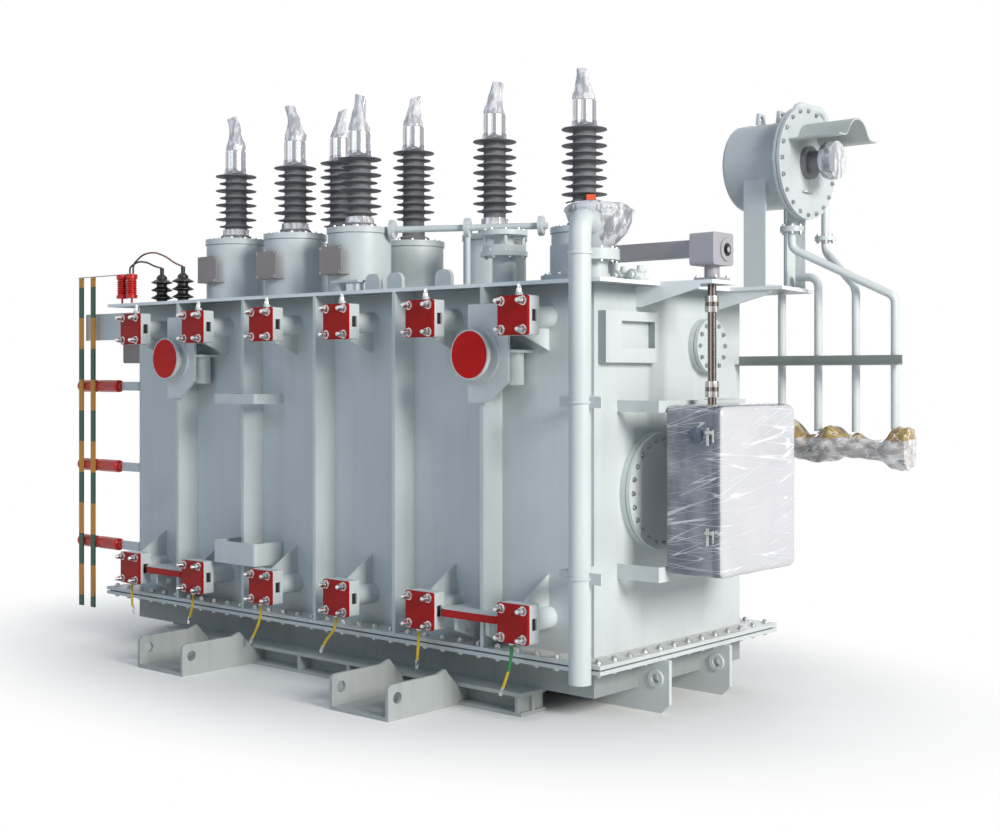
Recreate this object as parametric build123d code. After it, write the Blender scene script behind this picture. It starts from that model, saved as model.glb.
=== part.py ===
"""Oil-filled power transformer with a bell-type tank, made ready for transport.

X runs along the tank, Y runs from the front to the back and Z is up.
The origin is on the ground under the middle of the tank.  Sizes are in millimetres.
"""
import os
from math import cos, radians, sin, sqrt, tan

from build123d import *

# Tank
TANK_LENGTH = 3860.0
TANK_WIDTH = 1376.0
BELL_HEIGHT = 1885.0
LOWER_TANK_HEIGHT = 157.0
FLANGE_OVERHANG = 154.0
FLANGE_PLATE = 20.0
GASKET = 8.0
COVER_PLATE = 20.0
COVER_OVERHANG = 150.0
STIFFENER_DEPTH = 150.0
STIFFENER_THICK = 24.0

# Base
BEAM_HEIGHT = 120.0
BEAM_LENGTH = 3000.0
BEAM_OVERHANG = 157.0
BEAM_FLANGE = 200.0
BEAM_PLATE = 20.0
BASE_SHIFT = 80.0
CHANNEL_CENTRE = 847.0
CHANNEL_WIDTH = 435.0
CHANNEL_REACH = 520.0
CHANNEL_HEIGHT = 185.0
CHANNEL_PLATE = 20.0
TOW_HOLE = 60.0
TOW_LUG_OFFSET = 290.0
TOW_LUG_REACH = 190.0
TOW_LUG_PLATE = 24.0

# Radiator connections
VALVE_MARGIN = 297.5
VALVE_LOW = 175.0
VALVE_SPACING = 1550.0
VALVE_REACH = 286.0
VALVE_FLANGE = 200.0
VALVE_BODY = 75.0
VALVE_PLATE = 16.0
STUB_DIAMETER = 120.0

# Lifting and jacking
TRUNNION_DROP = 355.0
TRUNNION_REACH = 250.0
TRUNNION_TUBE = 180.0
TRUNNION_DISC = 260.0
TRUNNION_DISC_THICK = 22.0
TRUNNION_PLATE = 20.0
PAD_CLEARANCE = 6.5
PAD_REACH = 260.0
PAD_LEVEL = 195.0
PAD_PLATE = 40.0

# Turrets and bushings
TURRET_DIAMETER = 392.0
TURRET_FLANGE = 406.0
FRONT_TURRET = 425.0
REAR_TURRET = 390.0
ROW_OFFSET = 300.0
FRONT_ROW_START = 545.0
FRONT_ROW_END = 2115.0
REAR_ROW_START = 920.0
REAR_ROW_END = 825.0
SHED_PITCH = 48.0
SHED_LARGE = 270.0
SHED_SMALL = 222.0
SHED_CORE = 138.0
FRONT_SHEDS = 8
REAR_SHEDS = 10
FRONT_COLLAR = 78.0
REAR_COLLAR = 136.0
CAP_DIAMETER = 145.0
CAP_HEIGHT = 130.0

# Pressure relief and its discharge pipe
RELIEF_INSET = 88.0
DISCHARGE_DIAMETER = 112.0
DISCHARGE_OUT = 82.0
DISCHARGE_STANDOFF = 222.0

# Tap changer drive
DRIVE_OFFSET = -225.0
DRIVE_RISE = 165.0
DRIVE_REACH = 400.0
GEARBOX_WIDTH = 143.0
SHAFT_DIAMETER = 45.0
SHELF_LENGTH = 320.0
CABINET_GAP = 260.0
CABINET_DEPTH = 285.0
CABINET_DOOR = 55.0
CABINET_WIDTH = 733.0
CABINET_HEIGHT = 855.0
CABINET_LEVEL = 420.0
CABINET_CENTRE = -83.0

# Conservator of the tap changer
DRUM_DIAMETER = 480.0
DRUM_LENGTH = 365.0
DRUM_FLANGE = 614.0
DRUM_START = 106.0
DRUM_OFFSET = 560.0
DRUM_RISE = 675.0

# Earthing bars at the left end
BAR_LENGTH = 2290.0
BAR_WIDTH = 48.0
BAR_OUT = 490.0
BAR_SPACING = 142.0

# Derived levels and lines
X_END = TANK_LENGTH / 2
Y_WALL = TANK_WIDTH / 2
LOWER_TOP = BEAM_HEIGHT + LOWER_TANK_HEIGHT
GASKET_BOTTOM = LOWER_TOP + FLANGE_PLATE
FLANGE_MID = GASKET_BOTTOM + GASKET
FLANGE_TOP = FLANGE_MID + FLANGE_PLATE
COVER_BOTTOM = FLANGE_TOP + BELL_HEIGHT
COVER_TOP = COVER_BOTTOM + COVER_PLATE
EDGE_X = X_END + COVER_OVERHANG
EDGE_Y = Y_WALL + COVER_OVERHANG
BEAM_OUTSIDE = Y_WALL + BEAM_OVERHANG
FRONT_TOP = COVER_TOP + FRONT_TURRET
REAR_TOP = COVER_TOP + REAR_TURRET
FRONT_CAP = FRONT_TOP + FRONT_COLLAR + FRONT_SHEDS * SHED_PITCH + 14
REAR_CAP = REAR_TOP + REAR_COLLAR + REAR_SHEDS * SHED_PITCH + 14
LOW_Z = FLANGE_TOP + VALVE_LOW
HIGH_Z = LOW_Z + VALVE_SPACING
VALVE_PITCH = (TANK_LENGTH - 2 * VALVE_MARGIN) / 5
VALVE_X = [VALVE_PITCH * (i - 2.5) for i in range(6)]
STIFFENER_X = [VALVE_PITCH * (i - 2) for i in range(5)]
TRUNNION_X = (STIFFENER_X[0], STIFFENER_X[4])
TRUNNION_Z = COVER_BOTTOM - TRUNNION_DROP
PAD_TOP = FLANGE_TOP + PAD_LEVEL
PAD_WIDTH = VALVE_PITCH - VALVE_FLANGE - 2 * PAD_CLEARANCE
FRONT_PITCH = (TANK_LENGTH - FRONT_ROW_START - FRONT_ROW_END) / 2
REAR_PITCH = (TANK_LENGTH - REAR_ROW_START - REAR_ROW_END) / 3
FRONT_ROW = [(FRONT_ROW_START - X_END + FRONT_PITCH * i, -ROW_OFFSET) for i in range(3)]
REAR_ROW = [(REAR_ROW_START - X_END + REAR_PITCH * i, ROW_OFFSET) for i in range(4)]
DRIVE_Z = COVER_TOP + DRIVE_RISE
SHAFT_X = X_END + DRIVE_REACH
CABINET_BOTTOM = FLANGE_TOP + CABINET_LEVEL
CABINET_TOP = CABINET_BOTTOM + CABINET_HEIGHT
CABINET_BACK = X_END + CABINET_GAP
DRUM_X = X_END + DRUM_START
DRUM_END = DRUM_X + DRUM_LENGTH
DRUM_Z = COVER_TOP + DRUM_RISE
SIDES = (-1, 1)
CORNERS = [(sx, sy) for sx in SIDES for sy in SIDES]


def block(x0, x1, y0, y1, z0, z1):
    """A box between two opposite corners."""
    size = Box(abs(x1 - x0), abs(y1 - y0), abs(z1 - z0))
    return Pos((x0 + x1) / 2, (y0 + y1) / 2, (z0 + z1) / 2) * size


def upright(x, y, z0, z1, diameter):
    """A vertical round bar."""
    return Pos(x, y, (z0 + z1) / 2) * Cylinder(diameter / 2, abs(z1 - z0))


def along_x(x0, x1, y, z, diameter):
    """A round bar that runs along X."""
    return Pos((x0 + x1) / 2, y, z) * Rot(0, 90, 0) * Cylinder(diameter / 2, abs(x1 - x0))


def along_y(x, y0, y1, z, diameter):
    """A round bar that runs along Y."""
    return Pos(x, (y0 + y1) / 2, z) * Rot(90, 0, 0) * Cylinder(diameter / 2, abs(y1 - y0))


def plate_yz(x, thick, points, corner=None, radius=0):
    """A flat plate across X, drawn by its corners in Y and Z, with one of them rounded."""
    outline = make_face(Polyline(*points, close=True))
    if corner is not None:
        at = Vector(*points[corner])
        outline = fillet(outline.vertices().sort_by_distance(at)[0], radius)
    return Pos(x - thick / 2, 0, 0) * extrude(Plane.YZ * outline, amount=thick, dir=(1, 0, 0))


def plate_xz(y, thick, points, corner=None, radius=0):
    """A flat plate across Y, drawn by its corners in X and Z, with one of them rounded."""
    outline = make_face(Polyline(*points, close=True))
    if corner is not None:
        at = Vector(*points[corner])
        outline = fillet(outline.vertices().sort_by_distance(at)[0], radius)
    return Pos(0, y - thick / 2, 0) * extrude(Plane.XZ * outline, amount=thick, dir=(0, 1, 0))


def bent_pipe(points, radius, diameter):
    """A pipe through the points, with a round bend of the given radius at each corner."""
    line = FilletPolyline(*points, radius=radius)
    section = Plane(line @ 0, z_dir=line % 0) * Circle(diameter / 2)
    return sweep(section, path=line)


def lathe(x, y, points):
    """A turned piece about an upright axis, drawn by radius and level."""
    profile = Plane.XZ * make_face(Polyline(*points, close=True))
    return Pos(x, y, 0) * revolve(profile, Axis.Z)


def save(node, *solids):
    """Writes the solids of one node."""
    shape = solids[0] if len(solids) == 1 else Compound(children=list(solids))
    export_step(shape, f"parts/{node}.step")


def base_beam(side):
    """A longitudinal beam of I section under one long wall, with stiffening plates on its web."""
    out = side * BEAM_OUTSIDE
    inner = side * (BEAM_OUTSIDE - BEAM_FLANGE)
    half = BEAM_LENGTH / 2
    low = BEAM_PLATE
    high = BEAM_HEIGHT - BEAM_PLATE
    middle = (out + inner) / 2
    start = BASE_SHIFT - half
    end = BASE_SHIFT + half
    beam = block(start, end, inner, out, 0, low)
    beam += block(start, end, inner, out, high, BEAM_HEIGHT)
    beam += block(start, end, middle - BEAM_PLATE / 2, middle + BEAM_PLATE / 2, low, high)
    for i in range(8):
        x = BASE_SHIFT + BEAM_LENGTH * (i / 7 - 0.5) * 0.98
        beam += block(x - BEAM_PLATE / 2, x + BEAM_PLATE / 2, inner, out, low, high)
    return beam


def haulage_channel(x, side):
    """A towing channel that stands out from the base, with a tow hole through each cheek."""
    root = side * BEAM_OUTSIDE
    nose = side * (BEAM_OUTSIDE + CHANNEL_REACH)
    peak = root + side * 0.19 * CHANNEL_REACH
    crest = root + side * 0.30 * CHANNEL_REACH
    top = CHANNEL_HEIGHT
    outline = [(root, 0), (nose, 0), (nose, top), (crest, top), (peak, top * 1.1), (root, BEAM_HEIGHT * 0.82)]
    half = CHANNEL_WIDTH / 2
    channel = block(x - half, x + half, root, nose, 0, CHANNEL_PLATE)
    for cheek in SIDES:
        channel += plate_yz(x + cheek * (half - CHANNEL_PLATE / 2), CHANNEL_PLATE, outline, 2, 30)
    hole_y = nose - side * 1.1 * TOW_HOLE
    return channel - along_x(x - half - 5, x + half + 5, hole_y, top * 0.61, TOW_HOLE)


def tow_lug(end, side):
    """A plate on edge under one end of the tank, with a ringed tow hole."""
    wall = end * X_END
    tip = end * (X_END + TOW_LUG_REACH)
    tail = end * (X_END - 2.5 * TOW_LUG_REACH)
    y = side * TOW_LUG_OFFSET
    cut = end * 0.25 * TOW_LUG_REACH
    outline = [(tail, 0), (tip - cut, 0), (tip, abs(cut)), (tip, LOWER_TOP), (wall, LOWER_TOP)]
    outline += [(wall, BEAM_HEIGHT), (tail, BEAM_HEIGHT)]
    lug = plate_xz(y, TOW_LUG_PLATE, outline)
    hole_x = end * (X_END + 0.58 * TOW_LUG_REACH)
    hole_z = BEAM_HEIGHT + 58
    lug += along_y(hole_x, y - TOW_LUG_PLATE, y + TOW_LUG_PLATE, hole_z, 90)
    return lug - along_y(hole_x, y - 2 * TOW_LUG_PLATE, y + 2 * TOW_LUG_PLATE, hole_z, 50)


def cover_shelf(y0, y1, near, far, gusset_y, gusset_reach):
    """A shelf that carries on the cover past the end wall, with a slanted end and a gusset under it."""
    corners = [(EDGE_X, y0), (EDGE_X + near, y0), (EDGE_X + far, y1), (EDGE_X, y1)]
    shelf = Pos(0, 0, COVER_BOTTOM) * extrude(make_face(Polyline(*corners, close=True)), amount=COVER_PLATE)
    low = COVER_BOTTOM - 107
    foot = X_END + 40
    outline = [(X_END, low), (foot, low), (X_END + gusset_reach, COVER_BOTTOM - 20)]
    outline += [(X_END + gusset_reach, COVER_BOTTOM), (X_END, COVER_BOTTOM)]
    return shelf + plate_xz(gusset_y, 14, outline)


def radiator_stub(x, side, z, up):
    """A pipe stub on the wall with a triangular gusset."""
    wall = side * Y_WALL
    end = side * (Y_WALL + VALVE_REACH - VALVE_PLATE - VALVE_BODY)
    edge = z + up * STUB_DIAMETER * 0.45
    tip = z + up * (175 if up < 0 else 222)
    outline = [(wall, edge), (end, edge), (end, z + up * VALVE_FLANGE * 0.5), (wall, tip)]
    return along_y(x, wall, end, z, STUB_DIAMETER) + plate_yz(x, 12, outline)


def radiator_valve(x, side, z, stud):
    """A square butterfly valve body with a shallow window in its cheeks and an operating stud."""
    inner = side * (Y_WALL + VALVE_REACH - VALVE_PLATE - VALVE_BODY)
    outer = side * (Y_WALL + VALVE_REACH - VALVE_PLATE)
    middle = (inner + outer) / 2
    half = VALVE_FLANGE / 2
    body = block(x - half, x + half, inner, outer, z - half, z + half)
    body = fillet(body.edges().filter_by(Axis.Y), 12)
    for cheek in SIDES:
        body -= block(x + cheek * half, x + cheek * (half - 25), middle - 18, middle + 18, z - 30, z + 30)
    if stud:
        body += upright(x, middle, z + half - 5, z + half + 18, 40)
        body += upright(x, middle, z + half + 18, z + half + 45, 24)
    return body


def blanking_plate(x, side, z):
    """The plate that closes a valve."""
    inner = side * (Y_WALL + VALVE_REACH - VALVE_PLATE)
    outer = side * (Y_WALL + VALVE_REACH)
    half = VALVE_FLANGE / 2
    plate = block(x - half, x + half, inner, outer, z - half, z + half)
    return fillet(plate.edges().filter_by(Axis.Y), 12)


def stiffener(x, side):
    """A flat rib from the flange to the cover."""
    y0 = side * Y_WALL
    y1 = side * (Y_WALL + STIFFENER_DEPTH)
    half = STIFFENER_THICK / 2
    rib = block(x - half, x + half, y0, y1, FLANGE_TOP, COVER_BOTTOM)
    if x in TRUNNION_X:
        rib -= along_y(x, y0, y1, TRUNNION_Z, TRUNNION_TUBE)
    return rib


def trunnion(x, side):
    """A lifting trunnion with a keeper disc."""
    y0 = side * Y_WALL
    y1 = side * (Y_WALL + TRUNNION_REACH)
    face = y1 - side * TRUNNION_DISC_THICK
    disc = along_y(x, face, y1, TRUNNION_Z, TRUNNION_DISC)
    return along_y(x, y0, face, TRUNNION_Z, TRUNNION_TUBE) + disc


def trunnion_plate(x, side):
    """A plate on the outer edge of the stiffener that holds the trunnion, with a thickened ring."""
    inner = side * (Y_WALL + STIFFENER_DEPTH)
    y = inner + side * TRUNNION_PLATE / 2
    right = -side * 195
    left = side * 80
    top = TRUNNION_Z + 265
    low = TRUNNION_Z - 250
    outline = [(x + left, low), (x + left, top), (x + right, top), (x + right, low + 110), (x - side * 55, low)]
    plate = plate_xz(y, TRUNNION_PLATE, outline)
    ring = along_y(x, inner, inner + side * (TRUNNION_PLATE + 14), TRUNNION_Z, TRUNNION_DISC + 30)
    ring -= block(x - 200, x + 200, inner, inner + side * 60, TRUNNION_Z - 200, TRUNNION_Z - 0.52 * TRUNNION_DISC)
    return plate + ring - along_y(x, inner, inner + side * 60, TRUNNION_Z, TRUNNION_TUBE)


def pocket_tube(x, side):
    """A short upright tube under a small shelf between the wall and the trunnion plate."""
    wall = side * Y_WALL
    middle = side * (Y_WALL + STIFFENER_DEPTH / 2)
    outer = side * (Y_WALL + STIFFENER_DEPTH)
    at = x - side * 155
    near = x - side * (TRUNNION_TUBE / 2 + 10)
    shelf = block(near, at - side * 80, wall, outer, TRUNNION_Z + 10, TRUNNION_Z + 25)
    return shelf + upright(at, middle, TRUNNION_Z - 157, TRUNNION_Z + 10, 110)


def jacking_pad(x, side):
    """A jacking pad with rounded corners, slotted round the stiffener, with two gussets under it."""
    y0 = side * Y_WALL
    y1 = side * (Y_WALL + PAD_REACH)
    half = PAD_WIDTH / 2
    low = PAD_TOP - PAD_PLATE
    pad = block(x - half, x + half, y0, y1, low, PAD_TOP)
    pad = fillet(pad.edges().filter_by(Axis.Z).group_by(Axis.Y)[0 if side < 0 else -1], 60)
    tall = low - FLANGE_TOP
    for offset in (-0.25 * PAD_WIDTH, 0.25 * PAD_WIDTH):
        outline = [(y0, low), (y1 - side * 30, low), (y1 - side * 30, low - 0.45 * tall), (y0, FLANGE_TOP)]
        web = plate_yz(x + offset, 24, outline)
        pad += web - along_x(x + offset - 20, x + offset + 20, y1 - side * 110, low - 0.4 * tall, 46)
    slot = STIFFENER_THICK / 2
    return pad - block(x - slot, x + slot, y0, y0 + side * STIFFENER_DEPTH, low, PAD_TOP)


def front_holder(z0, z1):
    """A flat bar bent round the second stiffener to hold a cabinet."""
    x = STIFFENER_X[1]
    y0 = -Y_WALL
    y1 = -(Y_WALL + STIFFENER_DEPTH + 68)
    outer = block(x - 200, x + 200, y0, y1, z0, z1)
    outer = fillet(outer.edges().filter_by(Axis.Z).group_by(Axis.Y)[0], 20)
    return outer - block(x - 188, x + 188, y0, y1 + 12, z0, z1)


def cabinet_bracket(z0, z1):
    """Two bent arms from the end wall to the sides of the motor cabinet, with a cross bar."""
    near = CABINET_CENTRE - CABINET_WIDTH / 2
    far = CABINET_CENTRE + CABINET_WIDTH / 2
    bracket = block(CABINET_BACK - 14, CABINET_BACK, near - 45, far + 45, z0, z1)
    for y0, y1 in ((near - 45, near - 33), (far + 33, far + 45)):
        bracket += block(X_END, CABINET_BACK, y0, y1, z0, z1)
    return bracket


def turret(x, y, top):
    """A round turret with a bolted lid of the same width on a thin joint."""
    tube = upright(x, y, COVER_TOP, top - 42, TURRET_DIAMETER)
    joint = upright(x, y, top - 42, top - 36, TURRET_DIAMETER - 10)
    return tube + joint + upright(x, y, top - 36, top, TURRET_FLANGE)


def insulator(x, y, base, collar, sheds):
    """A bushing insulator with large and small sheds in turn, the top one large."""
    core = SHED_CORE / 2
    z = base + collar
    points = [(0, base), (core + 34, base), (core + 34, base + 26), (core + 6, base + 40)]
    for i in range(sheds):
        reach = (SHED_LARGE if (sheds - 1 - i) % 2 == 0 else SHED_SMALL) / 2
        bend = core + 0.3 * (reach - core)
        points += [(core, z), (bend, z + 9), (reach, z + 12), (reach, z + 15), (bend, z + 21), (core, z + 33)]
        z += SHED_PITCH
    points += [(core - 8, z + 14), (0, z + 14)]
    return lathe(x, y, points)


def bushing_cap(x, y, z):
    """The round metal cap of a bushing."""
    cap = upright(x, y, z, z + CAP_HEIGHT, CAP_DIAMETER)
    return fillet(cap.edges().group_by(Axis.Z)[-1], 14)


def terminal(x, y, z, tall, lean):
    """A wrapped flat terminal that leans over at the top of a bushing cap."""
    start = Plane.XY.offset(z) * Pos(x, y) * Circle(0.4 * CAP_DIAMETER)
    waist = Plane.XY.offset(z + 0.45 * tall) * Pos(x + 0.2 * lean, y) * Ellipse(52, 34)
    tip = Plane.XY.offset(z + tall) * Pos(x + lean, y) * Ellipse(36, 14)
    return loft([start, waist, tip])


def phase_plate(x, y):
    """A small bare plate that stands off the front of a turret on a bent foot."""
    front = y - TURRET_DIAMETER / 2 - 42
    low = FRONT_TOP - 294
    plate = block(x - 95, x + 95, front - 8, front, low, low + 172)
    foot = block(x - 95, x + 95, front, y, low, low + 6)
    return plate + foot - upright(x, y, COVER_TOP, FRONT_TOP, TURRET_DIAMETER)


def gas_pipe():
    """The gas collecting pipe between the turrets, with its flanges."""
    a = FRONT_ROW[2]
    b = REAR_ROW[3]
    z = FRONT_TOP - 15
    start = (a[0] + TURRET_FLANGE / 2, a[1] + 60, z)
    end = (b[0] - TURRET_FLANGE / 2 + 6, b[1] - 100, z)
    middle = ((start[0] + end[0]) / 2, (start[1] + end[1]) / 2, z)
    line = Line(start, end)
    pipe = sweep(Plane(line @ 0, z_dir=line % 0) * Circle(20), path=line)
    along = Plane(line @ 0, z_dir=line % 0)
    for place in (0.02, 0.5, 0.96):
        pipe += Plane(line @ place, z_dir=along.z_dir) * Cylinder(60, 26)
    pipe += upright(middle[0], middle[1], COVER_TOP, z, 36)
    return pipe + upright(middle[0], middle[1], COVER_TOP, COVER_TOP + 14, 100)


def oil_valve():
    """A flanged oil valve on a short neck, with its lid held up on studs."""
    x = X_END - 830
    y = -Y_WALL + 268
    z = COVER_TOP
    valve = upright(x, y, z, z + 175, 130) + upright(x, y, z + 175, z + 202, 260)
    valve += upright(x, y, z + 202, z + 236, 240) + upright(x, y, z + 236, z + 290, 110)
    for i in range(4):
        turn = radians(45 + 90 * i)
        valve += upright(x + 105 * cos(turn), y + 105 * sin(turn), z + 230, z + 300, 22)
    return valve + upright(x, y, z + 290, z + 318, 260)


def cover_fittings():
    """Small fittings on the cover: a plate on posts and three rounded upright lugs."""
    y = -Y_WALL + 40
    table = block(-20, 210, y - 45, y + 45, COVER_TOP + 62, COVER_TOP + 76)
    for x in (20, 170):
        table += block(x - 15, x + 15, y - 30, y + 30, COVER_TOP, COVER_TOP + 62)
    lugs = [table]
    for x in (300, 480, 860):
        lug = block(x - 60, x + 60, y - 12, y + 12, COVER_TOP, COVER_TOP + 105)
        lugs.append(fillet(lug.edges().filter_by(Axis.Y).group_by(Axis.Z)[-1], 45))
    return lugs


def small_bushing(x, y, z, sheds, width, pitch):
    """A small bushing with a foot, round sheds and a stud."""
    core = 0.25 * width
    points = [(0, z), (0.42 * width, z), (0.42 * width, z + 16), (core, z + 16)]
    z += 30
    for i in range(sheds):
        points += [(core, z), (width / 2, z + 0.2 * pitch), (width / 2, z + 0.3 * pitch), (core, z + 0.7 * pitch)]
        z += pitch
    points += [(core, z), (core * 0.6, z + 14), (14, z + 14), (14, z + 60), (0, z + 60)]
    return lathe(x, y, points)


def relief_spot():
    """The place of the pressure relief valve on the cover."""
    return X_END - 60, -Y_WALL + RELIEF_INSET


def discharge_spot():
    """The place of the upright run of the discharge pipe."""
    return X_END + DISCHARGE_OUT, -Y_WALL - DISCHARGE_STANDOFF


def relief_valve():
    """The wrapped pressure relief valve, a wide bowl under a low dome."""
    x, y = relief_spot()
    z = COVER_TOP + 160
    points = [(0, z), (75, z), (92, z + 40), (146, z + 165), (156, z + 205), (140, z + 228), (90, z + 240), (0, z + 240)]
    return lathe(x, y, points)


def relief_neck():
    """The neck and the bolted flanges under the pressure relief valve."""
    x, y = relief_spot()
    z = COVER_TOP
    neck = upright(x, y, z, z + 104, 130) + upright(x, y, z + 104, z + 160, 250)
    return neck + upright(x, y, z, z + 18, 220)


def discharge_pipe():
    """The pipe that leads the relief valve's discharge down the corner of the tank."""
    x, y = discharge_spot()
    rx, ry = relief_spot()
    z = COVER_TOP + 285
    far = sqrt((x - rx) ** 2 + (y - ry) ** 2)
    start = (rx + (x - rx) * 60 / far, ry + (y - ry) * 60 / far, z)
    line = [start, (x, y, z), (x, y, LOWER_TOP - 37)]
    pipe = bent_pipe(line, DISCHARGE_DIAMETER * 0.8, DISCHARGE_DIAMETER) - relief_valve()
    return pipe + upright(x, y, COVER_TOP + 110, COVER_TOP + 126, DISCHARGE_DIAMETER + 14)


def pipe_clamp(z):
    """A bracket and a bow that hold the discharge pipe off the corner of the tank."""
    x, y = discharge_spot()
    wide = 1.15 * DISCHARGE_DIAMETER
    clamp = block(X_END - 50, X_END, -Y_WALL, y + 12, z - 28, z + 28)
    clamp += block(x - wide, x + wide, y, y + 12, z - 28, z + 28)
    clamp += upright(x, y, z - 6, z + 6, DISCHARGE_DIAMETER + 16)
    return clamp - upright(x, y, z - 40, z + 40, DISCHARGE_DIAMETER)


def bevel_gearbox():
    """The bevel gearbox with its round end cap and the sleeve under it."""
    half = GEARBOX_WIDTH / 2
    box = block(SHAFT_X - half, SHAFT_X + half, DRIVE_OFFSET - 100, DRIVE_OFFSET + 88, DRIVE_Z - 90, DRIVE_Z + 75)
    box = fillet(box.edges().filter_by(Axis.X), 18)
    box += along_x(SHAFT_X + half, SHAFT_X + half + 8, DRIVE_OFFSET + 20, DRIVE_Z - 10, 116)
    box += along_x(SHAFT_X + half, SHAFT_X + half + 16, DRIVE_OFFSET + 20, DRIVE_Z - 10, 40)
    foot = block(SHAFT_X - 66, SHAFT_X + 66, DRIVE_OFFSET - 66, DRIVE_OFFSET + 66, COVER_TOP, COVER_TOP + 14)
    return box + foot + upright(SHAFT_X, DRIVE_OFFSET, COVER_TOP, DRIVE_Z - 90, 78)


def drive_shaft():
    """The upright drive shaft with two couplings, from the gearbox to the motor cabinet."""
    shaft = upright(SHAFT_X, DRIVE_OFFSET, CABINET_TOP, COVER_BOTTOM, SHAFT_DIAMETER)
    for z in (CABINET_TOP + 37, COVER_BOTTOM - 140):
        shaft += upright(SHAFT_X, DRIVE_OFFSET, z, z + 80, SHAFT_DIAMETER + 25)
    return shaft


def motor_cabinet():
    """The drive cabinet with a rounded door set off by a seam."""
    y0 = CABINET_CENTRE - CABINET_WIDTH / 2
    y1 = CABINET_CENTRE + CABINET_WIDTH / 2
    face = CABINET_BACK + CABINET_DEPTH
    body = block(CABINET_BACK, face, y0, y1, CABINET_BOTTOM, CABINET_TOP)
    body = fillet(body.edges().filter_by(Axis.X), 36)
    body += block(face, face + 8, y0 + 12, y1 - 12, CABINET_BOTTOM + 12, CABINET_TOP - 12)
    door = block(face + 8, face + CABINET_DOOR, y0, y1, CABINET_BOTTOM, CABINET_TOP)
    door = fillet(door.edges().filter_by(Axis.X), 36)
    return body + fillet(door.edges().group_by(Axis.X)[-1], 24)


def conservator_drum():
    """The conservator drum with its dished end, lifting eyes and drain neck."""
    drum = along_x(DRUM_X, DRUM_END, DRUM_OFFSET, DRUM_Z, DRUM_DIAMETER)
    drum = fillet(drum.edges().group_by(Axis.X)[0], 24)
    neck_x = DRUM_END - 60
    low = DRUM_Z - DRUM_DIAMETER / 2
    drum += upright(neck_x, DRUM_OFFSET, low - 130, low + 60, 60)
    drum += upright(neck_x, DRUM_OFFSET, low - 130, low - 100, 130)
    top = DRUM_Z + DRUM_DIAMETER / 2
    for x in (DRUM_X + 0.3 * DRUM_LENGTH, DRUM_X + 0.65 * DRUM_LENGTH):
        eye = plate_yz(x, 16, [(-45, -20), (45, -20), (30, 60), (-30, 60)])
        drum += Pos(0, DRUM_OFFSET, top) * (eye - along_x(x - 20, x + 20, 0, 30, 36))
    return drum


def conservator_flanges():
    """The two bolted end plates of the drum with the joint between them."""
    joint = along_x(DRUM_END + 16, DRUM_END + 22, DRUM_OFFSET, DRUM_Z, DRUM_FLANGE - 14)
    near = along_x(DRUM_END, DRUM_END + 16, DRUM_OFFSET, DRUM_Z, DRUM_FLANGE)
    return near + joint + along_x(DRUM_END + 22, DRUM_END + 40, DRUM_OFFSET, DRUM_Z, DRUM_FLANGE)


def oil_gauge():
    """The oil level gauge on the end plate of the drum."""
    x = DRUM_END + 40
    gauge = along_x(x, x + 24, DRUM_OFFSET, DRUM_Z, 180)
    gauge += along_x(x + 24, x + 110, DRUM_OFFSET, DRUM_Z, 120)
    return gauge + along_x(x + 110, x + 180, DRUM_OFFSET, DRUM_Z, 190)


def gauge_hood():
    """The bent sheet that shades the gauge, of arched section with flat rims."""
    x = DRUM_END + 40
    z = DRUM_Z + 110
    outer = Spline((-150, 0), (-90, 55), (0, 100), (90, 55), (150, 0), tangents=((1, 0.1), (1, -0.1)))
    inner = Spline((150, -8), (88, 46), (0, 91), (-88, 46), (-150, -8), tangents=((-1, 0.1), (-1, -0.1)))
    rims = [Polyline((150, 0), (210, 0), (210, -8), (150, -8))]
    rims.append(Polyline((-150, -8), (-210, -8), (-210, 0), (-150, 0)))
    section = make_face([outer, rims[0], inner, rims[1]])
    return Pos(x, DRUM_OFFSET, z) * extrude(Plane.YZ * section, amount=300, dir=(1, 0, 0))


def conservator_leg(side):
    """A flat leg with a bent foot from the shelf to the side of the drum."""
    x = DRUM_END - 163
    y = DRUM_OFFSET + side * (DRUM_DIAMETER / 2 - 20)
    leg = block(x - 68, x + 68, y - side * 10, y, COVER_TOP, DRUM_Z)
    leg += block(x - 68, x + 68, y - side * 110, y, COVER_TOP, COVER_TOP + 12)
    leg += block(x - 6, x + 6, y - side * 100, y, COVER_TOP, DRUM_Z)
    return leg - along_x(x - 80, x + 80, DRUM_OFFSET, DRUM_Z, DRUM_DIAMETER)


def drop_spots():
    """The places of the four drop pipes along X."""
    return [X_END + 258 + 228 * i for i in range(4)]


def drop_pipes():
    """The pipes that drop from the conservator to the valves at the back corner."""
    low = drop_foot()
    shelf = COVER_BOTTOM
    y = Y_WALL + 32
    radius = DRUM_DIAMETER / 2
    neck = (DRUM_END - 60, DRUM_OFFSET, DRUM_Z - radius - 130)
    xs = drop_spots()
    plumb = upright(xs[0], y, low, shelf, 45)
    elbow = bent_pipe([(xs[1] - 130, y, shelf + 85), (xs[1], y, shelf + 85), (xs[1], y, low)], 60, 45)
    x = DRUM_END - 45
    back = DRUM_OFFSET + radius + 110
    over = [(x, DRUM_OFFSET, DRUM_Z + radius - 20), (x, DRUM_OFFSET, DRUM_Z + radius + 90)]
    over += [(x, back, DRUM_Z + radius + 90), (x, back, shelf + 240), (xs[2], y, shelf + 15), (xs[2], y, low)]
    third = bent_pipe(over, 80, 45) - along_x(DRUM_X, DRUM_END, DRUM_OFFSET, DRUM_Z, DRUM_DIAMETER)
    third += upright(x, back, shelf + 300, shelf + 326, 120)
    fourth = bent_pipe([neck, (neck[0], neck[1], neck[2] - 90), (xs[3], y, shelf - 40), (xs[3], y, low)], 60, 45)
    return [plumb, elbow, third, fourth]


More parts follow.
